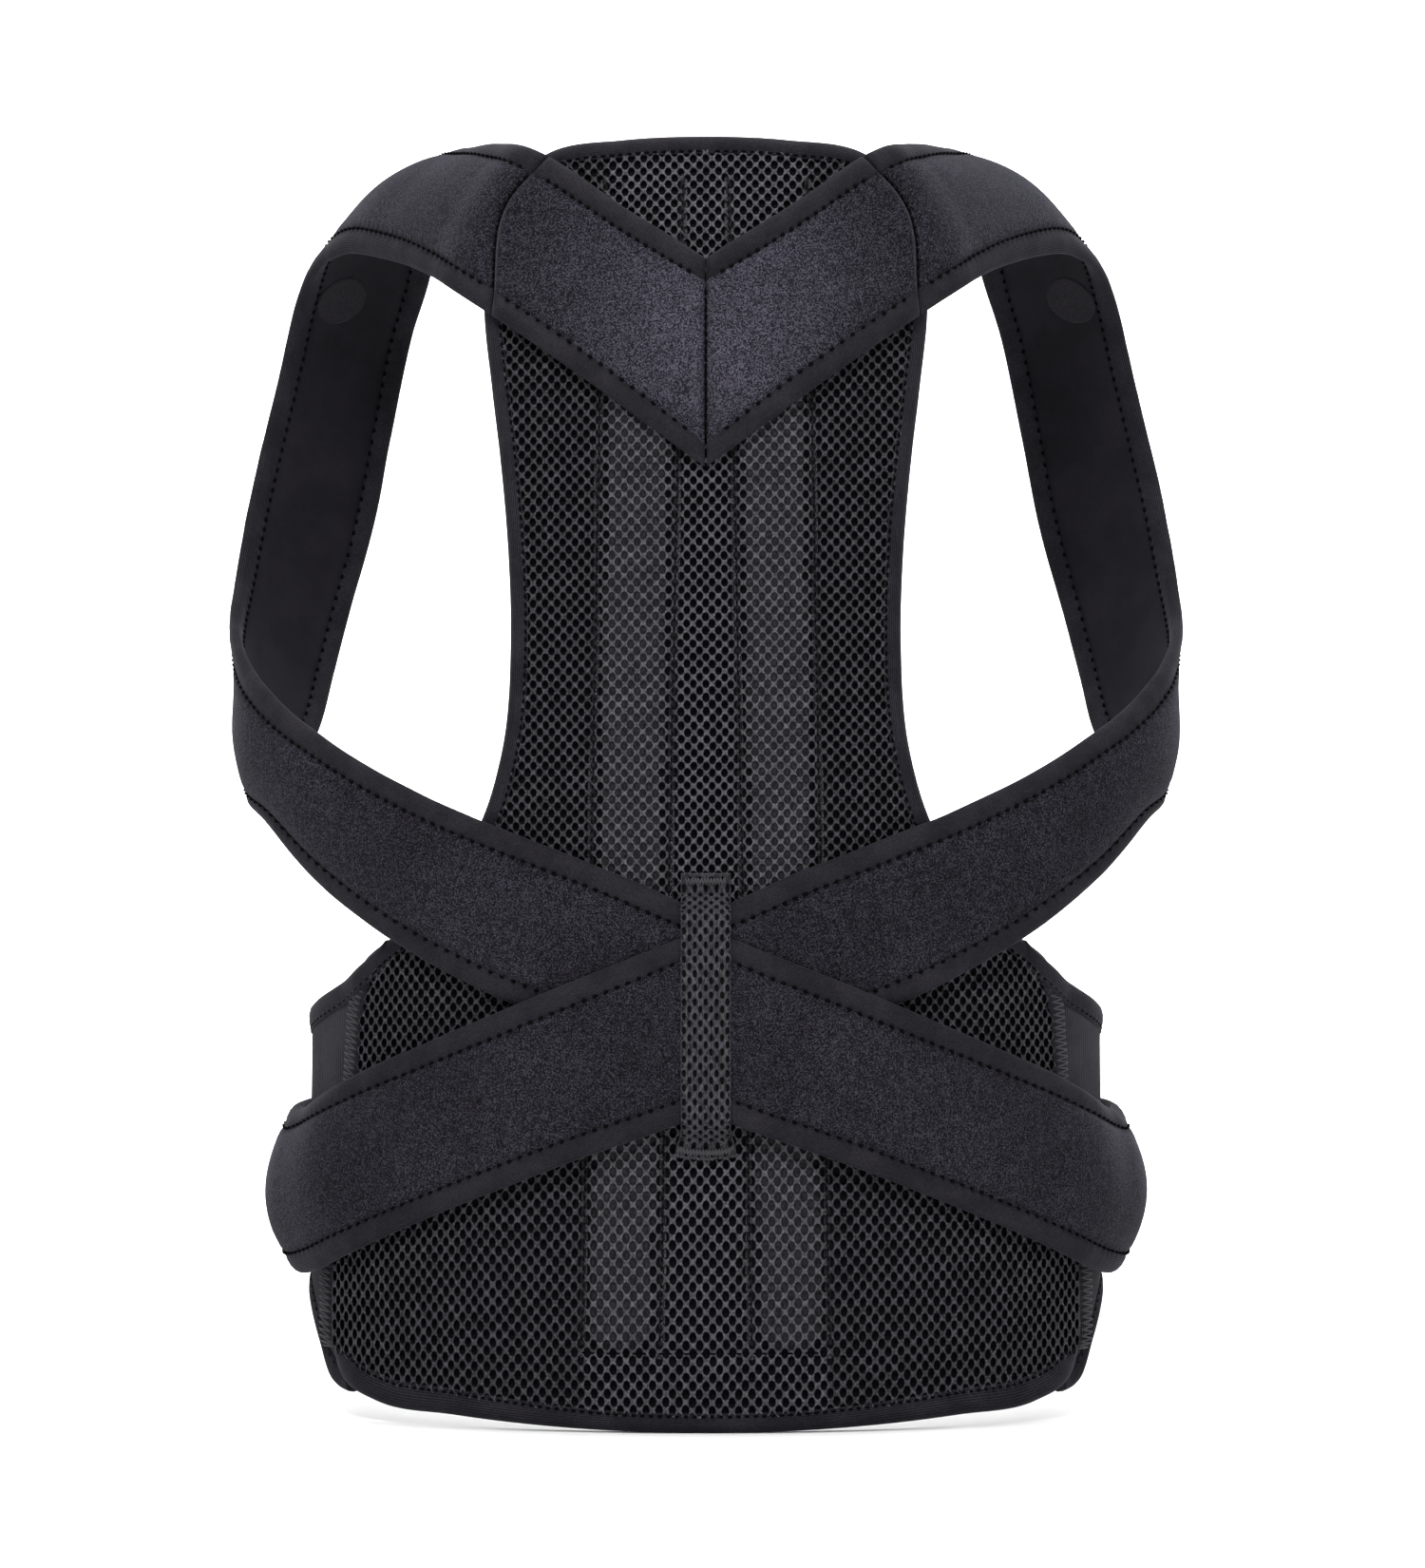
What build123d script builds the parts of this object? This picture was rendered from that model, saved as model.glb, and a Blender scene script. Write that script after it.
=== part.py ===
"""Posture-correcting back brace, closed as it is worn.

A stiffened mesh panel lies down the spine. A V-shaped yoke near its top runs out into two
shoulder straps, which go over the shoulders, down the chest, under the arms and back to a
keeper loop on the lower back. Two waist straps leave the keeper, wrap the hips and hook onto
an elastic belt, which closes at the front with hook and loop.

Millimetres. +Z is up, the wearer faces +Y and the wearer's left is -X. The origin is on the
torso's axis, level with the lowest point of the panel's hem.
"""
import math
import os

from build123d import *

# The torso that the brace goes round is an ellipse at every height.
TORSO_HALF_WIDTH = 156.0
TORSO_FRONT_DEPTH = 107.0
# (height, depth of the back behind the axis)
BACK_PROFILE = [
    (-8, 92), (60, 100), (150, 100), (250, 103), (350, 108), (410, 108.5), (460, 102), (512, 88),
]

# Layers of the back panel, as heights above the torso.
LINING = (0.0, 1.0)
FOAM = (1.2, 5.8)
STAY_POCKET = (3.0, 7.0)
STAY = (3.3, 5.5)
MESH = (6.0, 9.4)
STAY_CHANNEL = (6.0, 9.9)
PANEL_BINDING = (0.0, 9.9)
LAYER_GAP = 0.2

# Left half of the panel's edge seen from behind: narrow between the arms, wide at the waist.
PANEL_EDGE = [
    (0, 504), (-32, 502.8), (-61, 498.5), (-77, 487), (-84.5, 467), (-86.5, 440), (-83.2, 405),
    (-80.2, 380), (-76.8, 340), (-76, 308), (-79.5, 265), (-87.5, 238), (-103, 212), (-122, 193),
    (-135, 182), (-141, 169), (-143, 150), (-146, 90), (-149, 45), (-148.3, 28), (-143, 15),
    (-130, 8.5), (-99, 5), (-66, 2.2), (-33, 0.5), (0, 0),
]
PANEL_EDGE_STEPS = 60
PANEL_BINDING_WIDTH = 7.0
BINDING_TOP_Z = 487.0
BINDING_SIDE_BOTTOM_Z = 176.0
PANEL_HEM_Z = 36.0

# Stays and their channels lean a little outwards towards the waist.
STAY_WIDTH = 20.0
STAY_BOTTOM, STAY_TOP = (32.5, 52.0), (24.7, 462.0)
CHANNEL_HALF_WIDTH = 15.2
CHANNEL_BOTTOM, CHANNEL_TOP = (33.0, 31.0), (24.0, 487.0)
POCKET_CLEARANCE = 0.8

# Straps: foam-backed loop fabric with a folded tape along each edge, at shares of their width.
STRAP_THICKNESS = 4.0
TAPE_THICKNESS = 4.8
STRAP_SHARES = (0.13, 0.87)
FIRST_TAPE_SHARES = (0.0, 0.125)
SECOND_TAPE_SHARES = (0.875, 1.0)
SECTIONS_PER_STATION = 3

# Belt: an elastic ring whose left half laps over its right half at the front.
ELASTIC = (0.8, 3.6)
BELT_BAND = (0.5, 4.0)
HOOK_PATCH = (-0.1, 0.6)
LOOP_PATCH = (3.8, 4.7)
STRAP_HOOK = (4.3, 4.9)
LAP_LIFT = 5.0
LAP_X = 30.0
BAND_HEIGHT = 9.0
BELT_TOP_EDGE = [(-62, 178), (-40, 171.5), (-16, 165), (40, 157), (120, 150)]
BELT_BOTTOM_EDGE = [(-62, 10), (-38, 13), (-25, 29), (-8, 43), (40, 49), (120, 52)]
FRONT_PANEL_Y = 78.0
CLOSURE_PATCH_SIZE = (50.0, 80.0)
STRAP_HOOK_X = (-84.0, -40.0)
STRAP_HOOK_Z = (74.0, 124.0)
BELT_CENTRE_Z = 101.0

# Hinges at the hips, on the outermost line of the waist straps.
HINGE_Y = -17.25
HINGE_GAP = 1.5

# Keeper loop: (height, height above the torso) along its inner face.
KEEPER_HALF_WIDTH = 10.0
KEEPER_THICKNESS = 2.2
KEEPER_PATH = [
    (217.5, 10.3), (211, 10.3), (202.5, 21.6), (190, 22), (135, 22), (119.5, 21.6), (113, 10.3),
    (107.5, 10.3),
]
TACK_SIZE = (17.0, 1.2, 3.4)
TACK_HEIGHTS = (214.3, 110.2)
TACK_LAYER = 13.2

DISC_RADIUS, DISC_THICKNESS = 12.0, 0.8
DISC_STATION, DISC_SHARE, DISC_DEPTH = 9, 0.36, 5.4


# Spans that reach past the whole brace, across or from front to back, and upwards.
WIDE = (-300.0, 300.0)
TALL = (-300.0, 600.0)
WAIST_LAYER_TOP_Z = 250.0


def back_depth(height):
    """Depth of the torso's back behind its axis at a height."""
    for (low, low_depth), (high, high_depth) in zip(BACK_PROFILE, BACK_PROFILE[1:]):
        if height <= high:
            return low_depth + (high_depth - low_depth) * (height - low) / (high - low)
    return BACK_PROFILE[-1][1]


def on_back(x, height, lift):
    """Point on the back at a height, lifted off the torso."""
    reach = math.sqrt(1 - (x / (TORSO_HALF_WIDTH + lift)) ** 2)
    return (x, -(back_depth(height) + lift) * reach, height)


def on_belt(angle, height, lift):
    """Point round the front of the waist: 0 degrees is the wearer's left side, 90 the middle."""
    x = -(TORSO_HALF_WIDTH + STRAP_END_LIFT) * math.cos(math.radians(angle))
    y = (TORSO_FRONT_DEPTH + lift + STRAP_END_LIFT) * math.sin(math.radians(angle))
    return (x, y, height)


# Left strap from the middle of the yoke, over the shoulder, down the chest, under the arm and
# back to the keeper: its outer edge, its inner edge, and how far its middle bulges outwards.
STRAP_STATIONS = [
    (on_back(0, 374, 14.4), on_back(0, 455, 14.4), 0),
    (on_back(-26, 393, 14.6), on_back(-9, 461, 14.6), 0),
    (on_back(-52, 412, 15), on_back(-31, 475, 15), 0),
    (on_back(-83.5, 434, 15.5), on_back(-61, 496, 15.5), 0),
    ((-97, -95, 443.5), (-69, -96.5, 500), 3),
    ((-108, -74, 451.5), (-76, -78, 502.5), 6),
    ((-129, -37, 461.5), (-88, -40, 504.5), 9),
    ((-147.5, -5, 465.5), (-99, 0, 503), 10.5),
    ((-160, 20, 461), (-107, 32, 487), 9),
    ((-168.5, 42, 448), (-114, 59, 461.5), 6),
    ((-174.5, 54, 427), (-122.5, 76, 438), 4),
    ((-182, 55, 396), (-131.5, 86, 398), 3),
    ((-188.5, 50, 366), (-139.5, 86, 358), 3),
    ((-192, 36, 338), (-149, 78, 322), 4),
    ((-192.5, 18, 322), (-155, 66, 296), 6),
    ((-190.5, 0, 313), (-160, 47, 273), 8),
    ((-186, -17, 304.5), (-168, 29, 258.5), 9.5),
    ((-178.5, -35, 294.5), (-177, 10, 249), 10),
    ((-166, -53, 282), (-181, -10, 244), 9),
    ((-147.5, -71, 268.5), (-174, -34, 237), 7.5),
    ((-122, -87, 253.5), (-155, -59, 215.5), 6),
    ((-95, -98, 241), (-127, -81, 193.5), 4),
    (on_back(-66, 229.5, 13.2), on_back(-92, 174, 13.6), 2),
    (on_back(-35, 217.5, 12.9), on_back(-60, 160.5, 12.9), 0.5),
    (on_back(-17, 209.5, 12.9), on_back(-30, 147.5, 12.9), 0.2),
    (on_back(0, 202, 12.8), on_back(0, 134, 12.8), 0),
]
# Stations either side of the seams that close the yoke and the keeper's end of the strap.
YOKE_END = 3
YOKE_SEAM_GAP = 0.3
MIDDLE_SEAM_GAP = 0.15

# Left waist strap from the keeper to the hip, as lower edge, upper edge and bulge.
STRAP_END_LIFT = 7.5
HIP_X, HIP_LOW_Z, HIP_HIGH_Z, HIP_BULGE = -161.5, 56.0, 121.5, 12.5
HIP_BACK_Y = HINGE_Y - HINGE_GAP / 2
HIP_FRONT_Y = HINGE_Y + HINGE_GAP / 2
WAIST_STATIONS = [
    (on_back(0, 124.5, 18.4), on_back(0, 196.5, 18.4), 0),
    (on_back(-8.5, 121.2, 18.4), on_back(-20, 188.5, 18.4), 0),
    (on_back(-17, 118, 18.3), on_back(-40, 180.5, 18.3), 0),
    (on_back(-51, 106, 17.6), on_back(-76, 165.5, 18.3), 0.5),
    (on_back(-86, 92, 15), on_back(-110, 150.5, 15.4), 2),
    (on_back(-117, 78.5, 14), on_back(-137, 138, 14), 4),
    (on_back(-141, 66.5, 14), on_back(-151, 129, 11.5), 8),
    (on_back(-154.5, 58.5, 9.4), on_back(-157.5, 123.5, 7.6), 11),
    ((HIP_X, HIP_BACK_Y, HIP_LOW_Z), (HIP_X, HIP_BACK_Y, HIP_HIGH_Z), HIP_BULGE),
]
# Front end of the waist strap: angle round the torso, height of its lower edge, and bulge.
STRAP_END_WIDTH = 65.5
STRAP_END_STATIONS = [
    (-1, 57, 11), (14, 58.5, 8), (30, 60.5, 5), (46, 63, 2.5), (60, 65.5, 1), (70, 67.5, 0.2),
    (77.6, 69, 0),
]


def half_ring(inner, outer, depth, front):
    """Half of an elliptical ring in the current sketch: the torso's front or its back."""
    Ellipse(TORSO_HALF_WIDTH + outer, depth + outer)
    Ellipse(TORSO_HALF_WIDTH + inner, depth + inner, mode=Mode.SUBTRACT)
    reach = 2 * TORSO_HALF_WIDTH
    align = (Align.CENTER, Align.MIN if front else Align.MAX)
    Rectangle(2 * reach, reach, align=align, mode=Mode.INTERSECT)


def back_layer(span):
    """A layer over the whole back, between two heights above the torso."""
    with BuildPart() as layer:
        for height, depth in BACK_PROFILE:
            with BuildSketch(Plane.XY.offset(height)):
                half_ring(*span, depth, front=False)
        loft()
    return layer


def waist_layer(span, lift):
    """A layer all round the waist, lifted towards the middle of the front."""
    with BuildPart() as layer:
        add(back_layer(span).part)
        with BuildSketch():
            half_ring(*span, TORSO_FRONT_DEPTH + lift, front=True)
        extrude(amount=WAIST_LAYER_TOP_Z)
    return layer


def panel_outline(grow=0.0):
    """Outline of the back panel seen from behind, grown by an offset along its edge."""
    edge = Edge.make_spline([Vector(*point) for point in PANEL_EDGE], [Vector(-1, 0), Vector(1, 0)])
    points = []
    for i in range(PANEL_EDGE_STEPS + 1):
        place = edge.position_at(i / PANEL_EDGE_STEPS)
        ahead = edge.tangent_at(i / PANEL_EDGE_STEPS)
        points.append(place + Vector(-ahead.Y, ahead.X) * -grow)
    with BuildSketch(Plane.XZ) as outline:
        with BuildLine():
            Spline(points, tangents=[(-1, 0), (1, 0)])
            mirror(about=Plane.YZ)
        make_face()
    return outline.sketch


def channel_outline(grow=0.0):
    """Outlines of the two stay channels seen from behind."""
    half = CHANNEL_HALF_WIDTH + grow
    (low_x, low_z), (high_x, high_z) = CHANNEL_BOTTOM, CHANNEL_TOP
    corners = [
        (-low_x - half, low_z - grow), (-low_x + half, low_z - grow),
        (-high_x + half, high_z + grow), (-high_x - half, high_z + grow),
    ]
    with BuildSketch(Plane.XZ) as outline:
        with BuildLine():
            Polyline(*corners, close=True)
        make_face()
        mirror(about=Plane.YZ)
    return outline.sketch


def stay_outline(grow=0.0):
    """Outlines of the two stays seen from behind: bars with round ends."""
    (low_x, low_z), (high_x, high_z) = STAY_BOTTOM, STAY_TOP
    middle = (-(low_x + high_x) / 2, (low_z + high_z) / 2)
    with BuildSketch(Plane.XZ) as outline:
        SlotCenterPoint(middle, (-high_x, high_z + grow), STAY_WIDTH + 2 * grow)
        mirror(about=Plane.YZ)
    return outline.sketch


def behind(outline, span):
    """The part of a back layer that lies within an outline seen from behind."""
    with BuildPart() as piece:
        add(back_layer(span).part)
        extrude(outline, amount=2 * TORSO_HALF_WIDTH, mode=Mode.INTERSECT)
    return piece


def keep_box(x_span, y_span, z_span):
    """Keep what lies within a box."""
    sizes = [high - low for low, high in (x_span, y_span, z_span)]
    with Locations((x_span[0], y_span[0], z_span[0])):
        Box(*sizes, align=(Align.MIN, Align.MIN, Align.MIN), mode=Mode.INTERSECT)


def lining():
    """Smooth cloth on the wearer's side."""
    return behind(panel_outline(-PANEL_BINDING_WIDTH - LAYER_GAP), LINING)


def foam():
    """Foam core with a pocket in its outer face for each stay."""
    core = behind(panel_outline(-PANEL_BINDING_WIDTH - LAYER_GAP), FOAM)
    pockets = behind(stay_outline(POCKET_CLEARANCE), STAY_POCKET)
    with BuildPart() as piece:
        add(core.part)
        add(pockets.part, mode=Mode.SUBTRACT)
    return piece


def air_mesh():
    """Outer face of the panel, open where the stay channels are sewn on."""
    face = behind(panel_outline(-PANEL_BINDING_WIDTH - LAYER_GAP), MESH)
    with BuildPart() as piece:
        add(face.part)
        extrude(channel_outline(LAYER_GAP), amount=2 * TORSO_HALF_WIDTH, mode=Mode.SUBTRACT)
    return piece


def left_half(piece):
    """The left one of a pair of solids."""
    with BuildPart() as half:
        add(piece.part)
        keep_box((WIDE[0], 0), WIDE, TALL)
    return half


def panel_binding(x_span, z_span):
    """Stretch of the tape that wraps the panel's edge."""
    with BuildPart() as ring:
        add(back_layer(PANEL_BINDING).part)
        extrude(panel_outline(), amount=2 * TORSO_HALF_WIDTH, mode=Mode.INTERSECT)
        extrude(panel_outline(-PANEL_BINDING_WIDTH), amount=2 * TORSO_HALF_WIDTH, mode=Mode.SUBTRACT)
        keep_box(x_span, WIDE, z_span)
    return ring


def spline_value(values, share):
    """Value a share of the way from the second to the third of four, on a smooth curve."""
    before, start, end, after = values
    slope = (end - before) / 2
    bend = before - 2.5 * start + 2 * end - after / 2
    twist = (after - before) / 2 + 1.5 * (start - end)
    return start + slope * share + bend * share**2 + twist * share**3


def refined(stations):
    """Stations with more of them in between, along smooth curves."""
    flat = [(*first, *second, bulge) for first, second, bulge in stations]
    rows = []
    for i in range(len(flat) - 1):
        around = [flat[max(i - 1, 0)], flat[i], flat[i + 1], flat[min(i + 2, len(flat) - 1)]]
        for step in range(SECTIONS_PER_STATION):
            share = step / SECTIONS_PER_STATION
            rows.append([spline_value(values, share) for values in zip(*around)])
    rows.append(flat[-1])
    return [(tuple(row[:3]), tuple(row[3:6]), row[6]) for row in rows]


def strap_sections(stations):
    """Plane, width and bulge of each section: x runs to the inner edge and y outwards."""
    stations = refined(stations)
    points = [(Vector(*first), Vector(*second)) for first, second, bulge in stations]
    middles = [(first + second) / 2 for first, second in points]
    sections = []
    for i, (first, second) in enumerate(points):
        travel = middles[min(i + 1, len(points) - 1)] - middles[max(i - 1, 0)]
        if first.X == 0:
            travel = Vector(travel.X, 0, 0)
        across = (second - first).normalized()
        outwards = across.cross(travel).normalized()
        plane = Plane(middles[i], x_dir=across, z_dir=across.cross(outwards))
        sections.append((plane, (second - first).length, stations[i][2]))
    return sections


def strap_strip(sections, shares, thickness):
    """The strip of a strap between two shares of its width, 0 at the outer edge."""
    with BuildPart() as strip:
        for plane, width, bulge in sections:
            places = [shares[0], sum(shares) / 2, shares[1]]
            line = [((place - 0.5) * width, 4 * bulge * place * (1 - place)) for place in places]
            with BuildSketch(plane):
                with BuildLine():
                    face = Spline([(x, y + thickness / 2) for x, y in line])
                    back = Spline([(x, y - thickness / 2) for x, y in line])
                    Line(face @ 0, back @ 0)
                    Line(face @ 1, back @ 1)
                make_face()
        loft(ruled=True)
    return strip


def shifted(section, gap):
    """A section moved along the strap."""
    plane, width, bulge = section
    return (Plane(plane.origin + plane.z_dir * gap, plane.x_dir, plane.z_dir), width, bulge)


def trimmed_at_middle(strip, gap):
    """A left strip cut back from the seam in the middle of the body."""
    with BuildPart() as piece:
        add(strip.part)
        keep_box((WIDE[0], -gap), WIDE, TALL)
    return piece


def side_profile(upper, lower, x_reach):
    """Prism of a belt piece between two edges seen from the side."""
    with BuildSketch(Plane.YZ) as profile:
        with BuildLine():
            top = Spline(upper)
            bottom = Spline(lower)
            Line(top @ 0, bottom @ 0)
            Line(top @ 1, bottom @ 1)
        make_face()
    extrude(profile.sketch, amount=x_reach, both=True, mode=Mode.INTERSECT)


def moved_up(edge, height):
    """An edge of the belt moved up or down."""
    return [(y, z + height) for y, z in edge]


def belt_piece(span, lift, upper, lower, x_span, y_span):
    """Piece of the belt between two edges, within a box."""
    with BuildPart() as piece:
        add(waist_layer(span, lift).part)
        side_profile(upper, lower, 2 * TORSO_HALF_WIDTH)
        keep_box(x_span, y_span, TALL)
    return piece


def side_elastic():
    """Elastic between the panel and the hip, part of the back."""
    with BuildPart() as piece:
        add(back_layer(ELASTIC).part)
        side_profile(BELT_TOP_EDGE, BELT_BOTTOM_EDGE, 2 * TORSO_HALF_WIDTH)
        keep_box((WIDE[0], 0), (WIDE[0], HIP_BACK_Y), TALL)
        extrude(panel_outline(LAYER_GAP), amount=2 * TORSO_HALF_WIDTH, mode=Mode.SUBTRACT)
    return piece


def wing_pieces(lift):
    """Elastic, front panel and edge bands of the half of the belt on the -X side."""
    inner_top = moved_up(BELT_TOP_EDGE, -BAND_HEIGHT - LAYER_GAP)
    inner_bottom = moved_up(BELT_BOTTOM_EDGE, BAND_HEIGHT + LAYER_GAP)
    band_top = moved_up(BELT_TOP_EDGE, -BAND_HEIGHT)
    band_bottom = moved_up(BELT_BOTTOM_EDGE, BAND_HEIGHT)
    to_lap = (WIDE[0], LAP_X)
    elastic_y = (HIP_FRONT_Y, FRONT_PANEL_Y - LAYER_GAP)
    return {
        "wing_elastic": belt_piece(ELASTIC, lift, inner_top, inner_bottom, (WIDE[0], 0), elastic_y),
        "front_panel": belt_piece(
            ELASTIC, lift, inner_top, inner_bottom, to_lap, (FRONT_PANEL_Y, WIDE[1])
        ),
        "belt_top_band": belt_piece(
            BELT_BAND, lift, BELT_TOP_EDGE, band_top, to_lap, (HIP_FRONT_Y, WIDE[1])
        ),
        "belt_bottom_band": belt_piece(
            BELT_BAND, lift, band_bottom, BELT_BOTTOM_EDGE, to_lap, (HIP_FRONT_Y, WIDE[1])
        ),
    }


def front_patch(span, lift, x_span, z_span):
    """Patch of hook or loop tape on the front of the belt."""
    with BuildPart() as patch:
        with BuildSketch():
            half_ring(*span, TORSO_FRONT_DEPTH + lift, front=True)
        extrude(amount=WAIST_LAYER_TOP_Z)
        keep_box(x_span, (0, WIDE[1]), z_span)
    return patch


def keeper_loop():
    """Knitted loop that holds the straps where they cross."""
    path = [(-(back_depth(z) + lift), z) for z, lift in KEEPER_PATH]
    with BuildPart() as loop:
        with BuildSketch(Plane.YZ):
            with BuildLine():
                Polyline(*path)
                offset(amount=KEEPER_THICKNESS, side=Side.RIGHT, kind=Kind.ARC)
            make_face()
        extrude(amount=KEEPER_HALF_WIDTH, both=True)
    return loop


def keeper_tack(height):
    """Bar tack that sews one end of the keeper down."""
    with BuildPart() as tack:
        with Locations((0, -(back_depth(height) + TACK_LAYER), height)):
            Box(*TACK_SIZE)
        fillet(tack.edges().filter_by(Axis.X), radius=TACK_SIZE[1] / 2.5)
    return tack


def strap_disc(section):
    """Thin round pad inside the strap on the front of the shoulder."""
    plane, width, bulge = section
    place = (DISC_SHARE - 0.5) * width
    depth = 4 * bulge * DISC_SHARE * (1 - DISC_SHARE) - DISC_DEPTH
    face = Plane(plane.from_local_coords((place, depth, 0)), plane.x_dir, plane.y_dir)
    with BuildPart() as disc:
        with BuildSketch(face):
            Circle(DISC_RADIUS)
        extrude(amount=DISC_THICKNESS)
        fillet(disc.edges(), radius=DISC_THICKNESS / 3)
    return disc


def mirrored(piece):
    """The same piece on the other side of the body."""
    with BuildPart() as other:
        mirror(piece.part, about=Plane.YZ)
    return other


def save(piece, name):
    """Label one piece and write it."""
    piece.part.label = name
    export_step(piece.part, f"parts/{name}.step")


def save_pair(piece, name):
    """Write a piece made for the left side, and its mirror image."""
    save(piece, f"{name}_left")
    save(mirrored(piece), f"{name}_right")


def save_strap(sections, name, tapes, seam_gap=None):
    """Write a strap and the tapes along its two edges, for both sides."""
    strips = [
        (name, STRAP_SHARES, STRAP_THICKNESS),
        (tapes[0], FIRST_TAPE_SHARES, TAPE_THICKNESS),
        (tapes[1], SECOND_TAPE_SHARES, TAPE_THICKNESS),
    ]
    for node, shares, thickness in strips:
        strip = strap_strip(sections, shares, thickness)
        if seam_gap:
            strip = trimmed_at_middle(strip, seam_gap)
        save_pair(strip, node)


def save_panel():
    """Write the back panel's layers, stays and bindings."""
    save(lining(), "back_lining")
    save(foam(), "back_foam")
    save(air_mesh(), "back_mesh")
    save_pair(left_half(behind(channel_outline(), STAY_CHANNEL)), "stay_channel")
    save_pair(left_half(behind(stay_outline(), STAY)), "stay")
    save(panel_binding(WIDE, (BINDING_TOP_Z + LAYER_GAP, TALL[1])), "panel_top_binding")
    side = panel_binding((WIDE[0], 0), (BINDING_SIDE_BOTTOM_Z, BINDING_TOP_Z))
    save_pair(side, "panel_side_binding")
    edge = panel_binding((WIDE[0], 0), (PANEL_HEM_Z, BINDING_SIDE_BOTTOM_Z - LAYER_GAP))
    save_pair(edge, "panel_hip_binding")
    save(panel_binding(WIDE, (WIDE[0], PANEL_HEM_Z - LAYER_GAP)), "panel_hem_binding")


def save_straps():
    """Write the yoke, the shoulder straps, the waist straps and the keeper."""
    sections = strap_sections(STRAP_STATIONS)
    seam = YOKE_END * SECTIONS_PER_STATION
    yoke = sections[: seam + 1]
    strap = [shifted(sections[seam], -YOKE_SEAM_GAP)] + sections[seam + 1 :]
    save_strap(yoke, "yoke", ("yoke_lower_tape", "yoke_upper_tape"), MIDDLE_SEAM_GAP)
    save_strap(
        strap, "shoulder_strap", ("shoulder_outer_tape", "shoulder_inner_tape"), MIDDLE_SEAM_GAP
    )
    save_pair(strap_disc(sections[DISC_STATION * SECTIONS_PER_STATION]), "strap_disc")
    save(keeper_loop(), "keeper_loop")
    for height, name in zip(TACK_HEIGHTS, ("keeper_top_tack", "keeper_bottom_tack")):
        save(keeper_tack(height), name)


def end_stations(lift):
    """Stations of a waist strap's front end, over a belt half with this lift."""
    stations = [((HIP_X, HIP_FRONT_Y, HIP_LOW_Z), (HIP_X, HIP_FRONT_Y, HIP_HIGH_Z), HIP_BULGE)]
    for angle, low, bulge in STRAP_END_STATIONS:
        stations.append(
            (on_belt(angle, low, lift), on_belt(angle, low + STRAP_END_WIDTH, lift), bulge)
        )
    return stations


def save_waist_straps():
    """Write the waist straps, up to the hips and beyond them."""
    tapes = ("waist_lower_tape", "waist_upper_tape")
    save_strap(strap_sections(WAIST_STATIONS), "waist_strap", tapes, MIDDLE_SEAM_GAP)
    for side, lift in (("left", LAP_LIFT), ("right", 0.0)):
        sections = strap_sections(end_stations(lift))
        strips = [
            ("strap_end", STRAP_SHARES, STRAP_THICKNESS),
            ("strap_end_lower_tape", FIRST_TAPE_SHARES, TAPE_THICKNESS),
            ("strap_end_upper_tape", SECOND_TAPE_SHARES, TAPE_THICKNESS),
        ]
        pieces = {name: strap_strip(sections, *shape) for name, *shape in strips}
        pieces["strap_hook"] = front_patch(STRAP_HOOK, lift, STRAP_HOOK_X, STRAP_HOOK_Z)
        for name, piece in pieces.items():
            save(piece if side == "left" else mirrored(piece), f"{name}_{side}")


def save_belt():
    """Write the elastic belt and its closure."""
    save_pair(side_elastic(), "side_elastic")
    for name, piece in wing_pieces(LAP_LIFT).items():
        save(piece, f"{name}_left")
    for name, piece in wing_pieces(0.0).items():
        save(mirrored(piece), f"{name}_right")
    width, height = CLOSURE_PATCH_SIZE
    x_span = (-width / 2, width / 2)
    z_span = (BELT_CENTRE_Z - height / 2, BELT_CENTRE_Z + height / 2)
    save(front_patch(HOOK_PATCH, LAP_LIFT, x_span, z_span), "closure_hook")
    save(front_patch(LOOP_PATCH, 0.0, x_span, z_span), "closure_loop")


os.makedirs("parts", exist_ok=True)
save_panel()
save_straps()
save_waist_straps()
save_belt()
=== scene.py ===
import math

import bpy
import numpy as np
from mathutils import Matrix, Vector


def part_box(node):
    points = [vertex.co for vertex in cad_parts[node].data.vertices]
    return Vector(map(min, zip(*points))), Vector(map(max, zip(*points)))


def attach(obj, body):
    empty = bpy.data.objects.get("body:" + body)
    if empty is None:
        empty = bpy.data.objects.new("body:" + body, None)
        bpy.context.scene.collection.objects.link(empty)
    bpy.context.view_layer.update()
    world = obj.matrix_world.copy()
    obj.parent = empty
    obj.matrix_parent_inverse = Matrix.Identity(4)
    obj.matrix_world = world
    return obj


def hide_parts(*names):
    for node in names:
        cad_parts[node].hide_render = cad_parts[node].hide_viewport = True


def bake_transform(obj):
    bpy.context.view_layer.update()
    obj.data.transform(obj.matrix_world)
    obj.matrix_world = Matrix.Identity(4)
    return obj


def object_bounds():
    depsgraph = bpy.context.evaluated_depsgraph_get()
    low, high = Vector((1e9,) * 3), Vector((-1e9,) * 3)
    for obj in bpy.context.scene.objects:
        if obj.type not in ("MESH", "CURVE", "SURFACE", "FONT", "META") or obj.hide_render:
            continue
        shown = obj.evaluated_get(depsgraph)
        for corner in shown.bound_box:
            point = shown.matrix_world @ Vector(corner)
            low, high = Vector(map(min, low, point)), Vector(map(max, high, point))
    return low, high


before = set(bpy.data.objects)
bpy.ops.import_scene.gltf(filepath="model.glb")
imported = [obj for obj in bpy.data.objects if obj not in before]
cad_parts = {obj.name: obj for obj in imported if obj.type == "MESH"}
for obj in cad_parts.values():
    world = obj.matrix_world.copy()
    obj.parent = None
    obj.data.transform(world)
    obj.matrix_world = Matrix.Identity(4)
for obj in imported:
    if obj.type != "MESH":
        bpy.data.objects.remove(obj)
cad_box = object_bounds()

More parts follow.
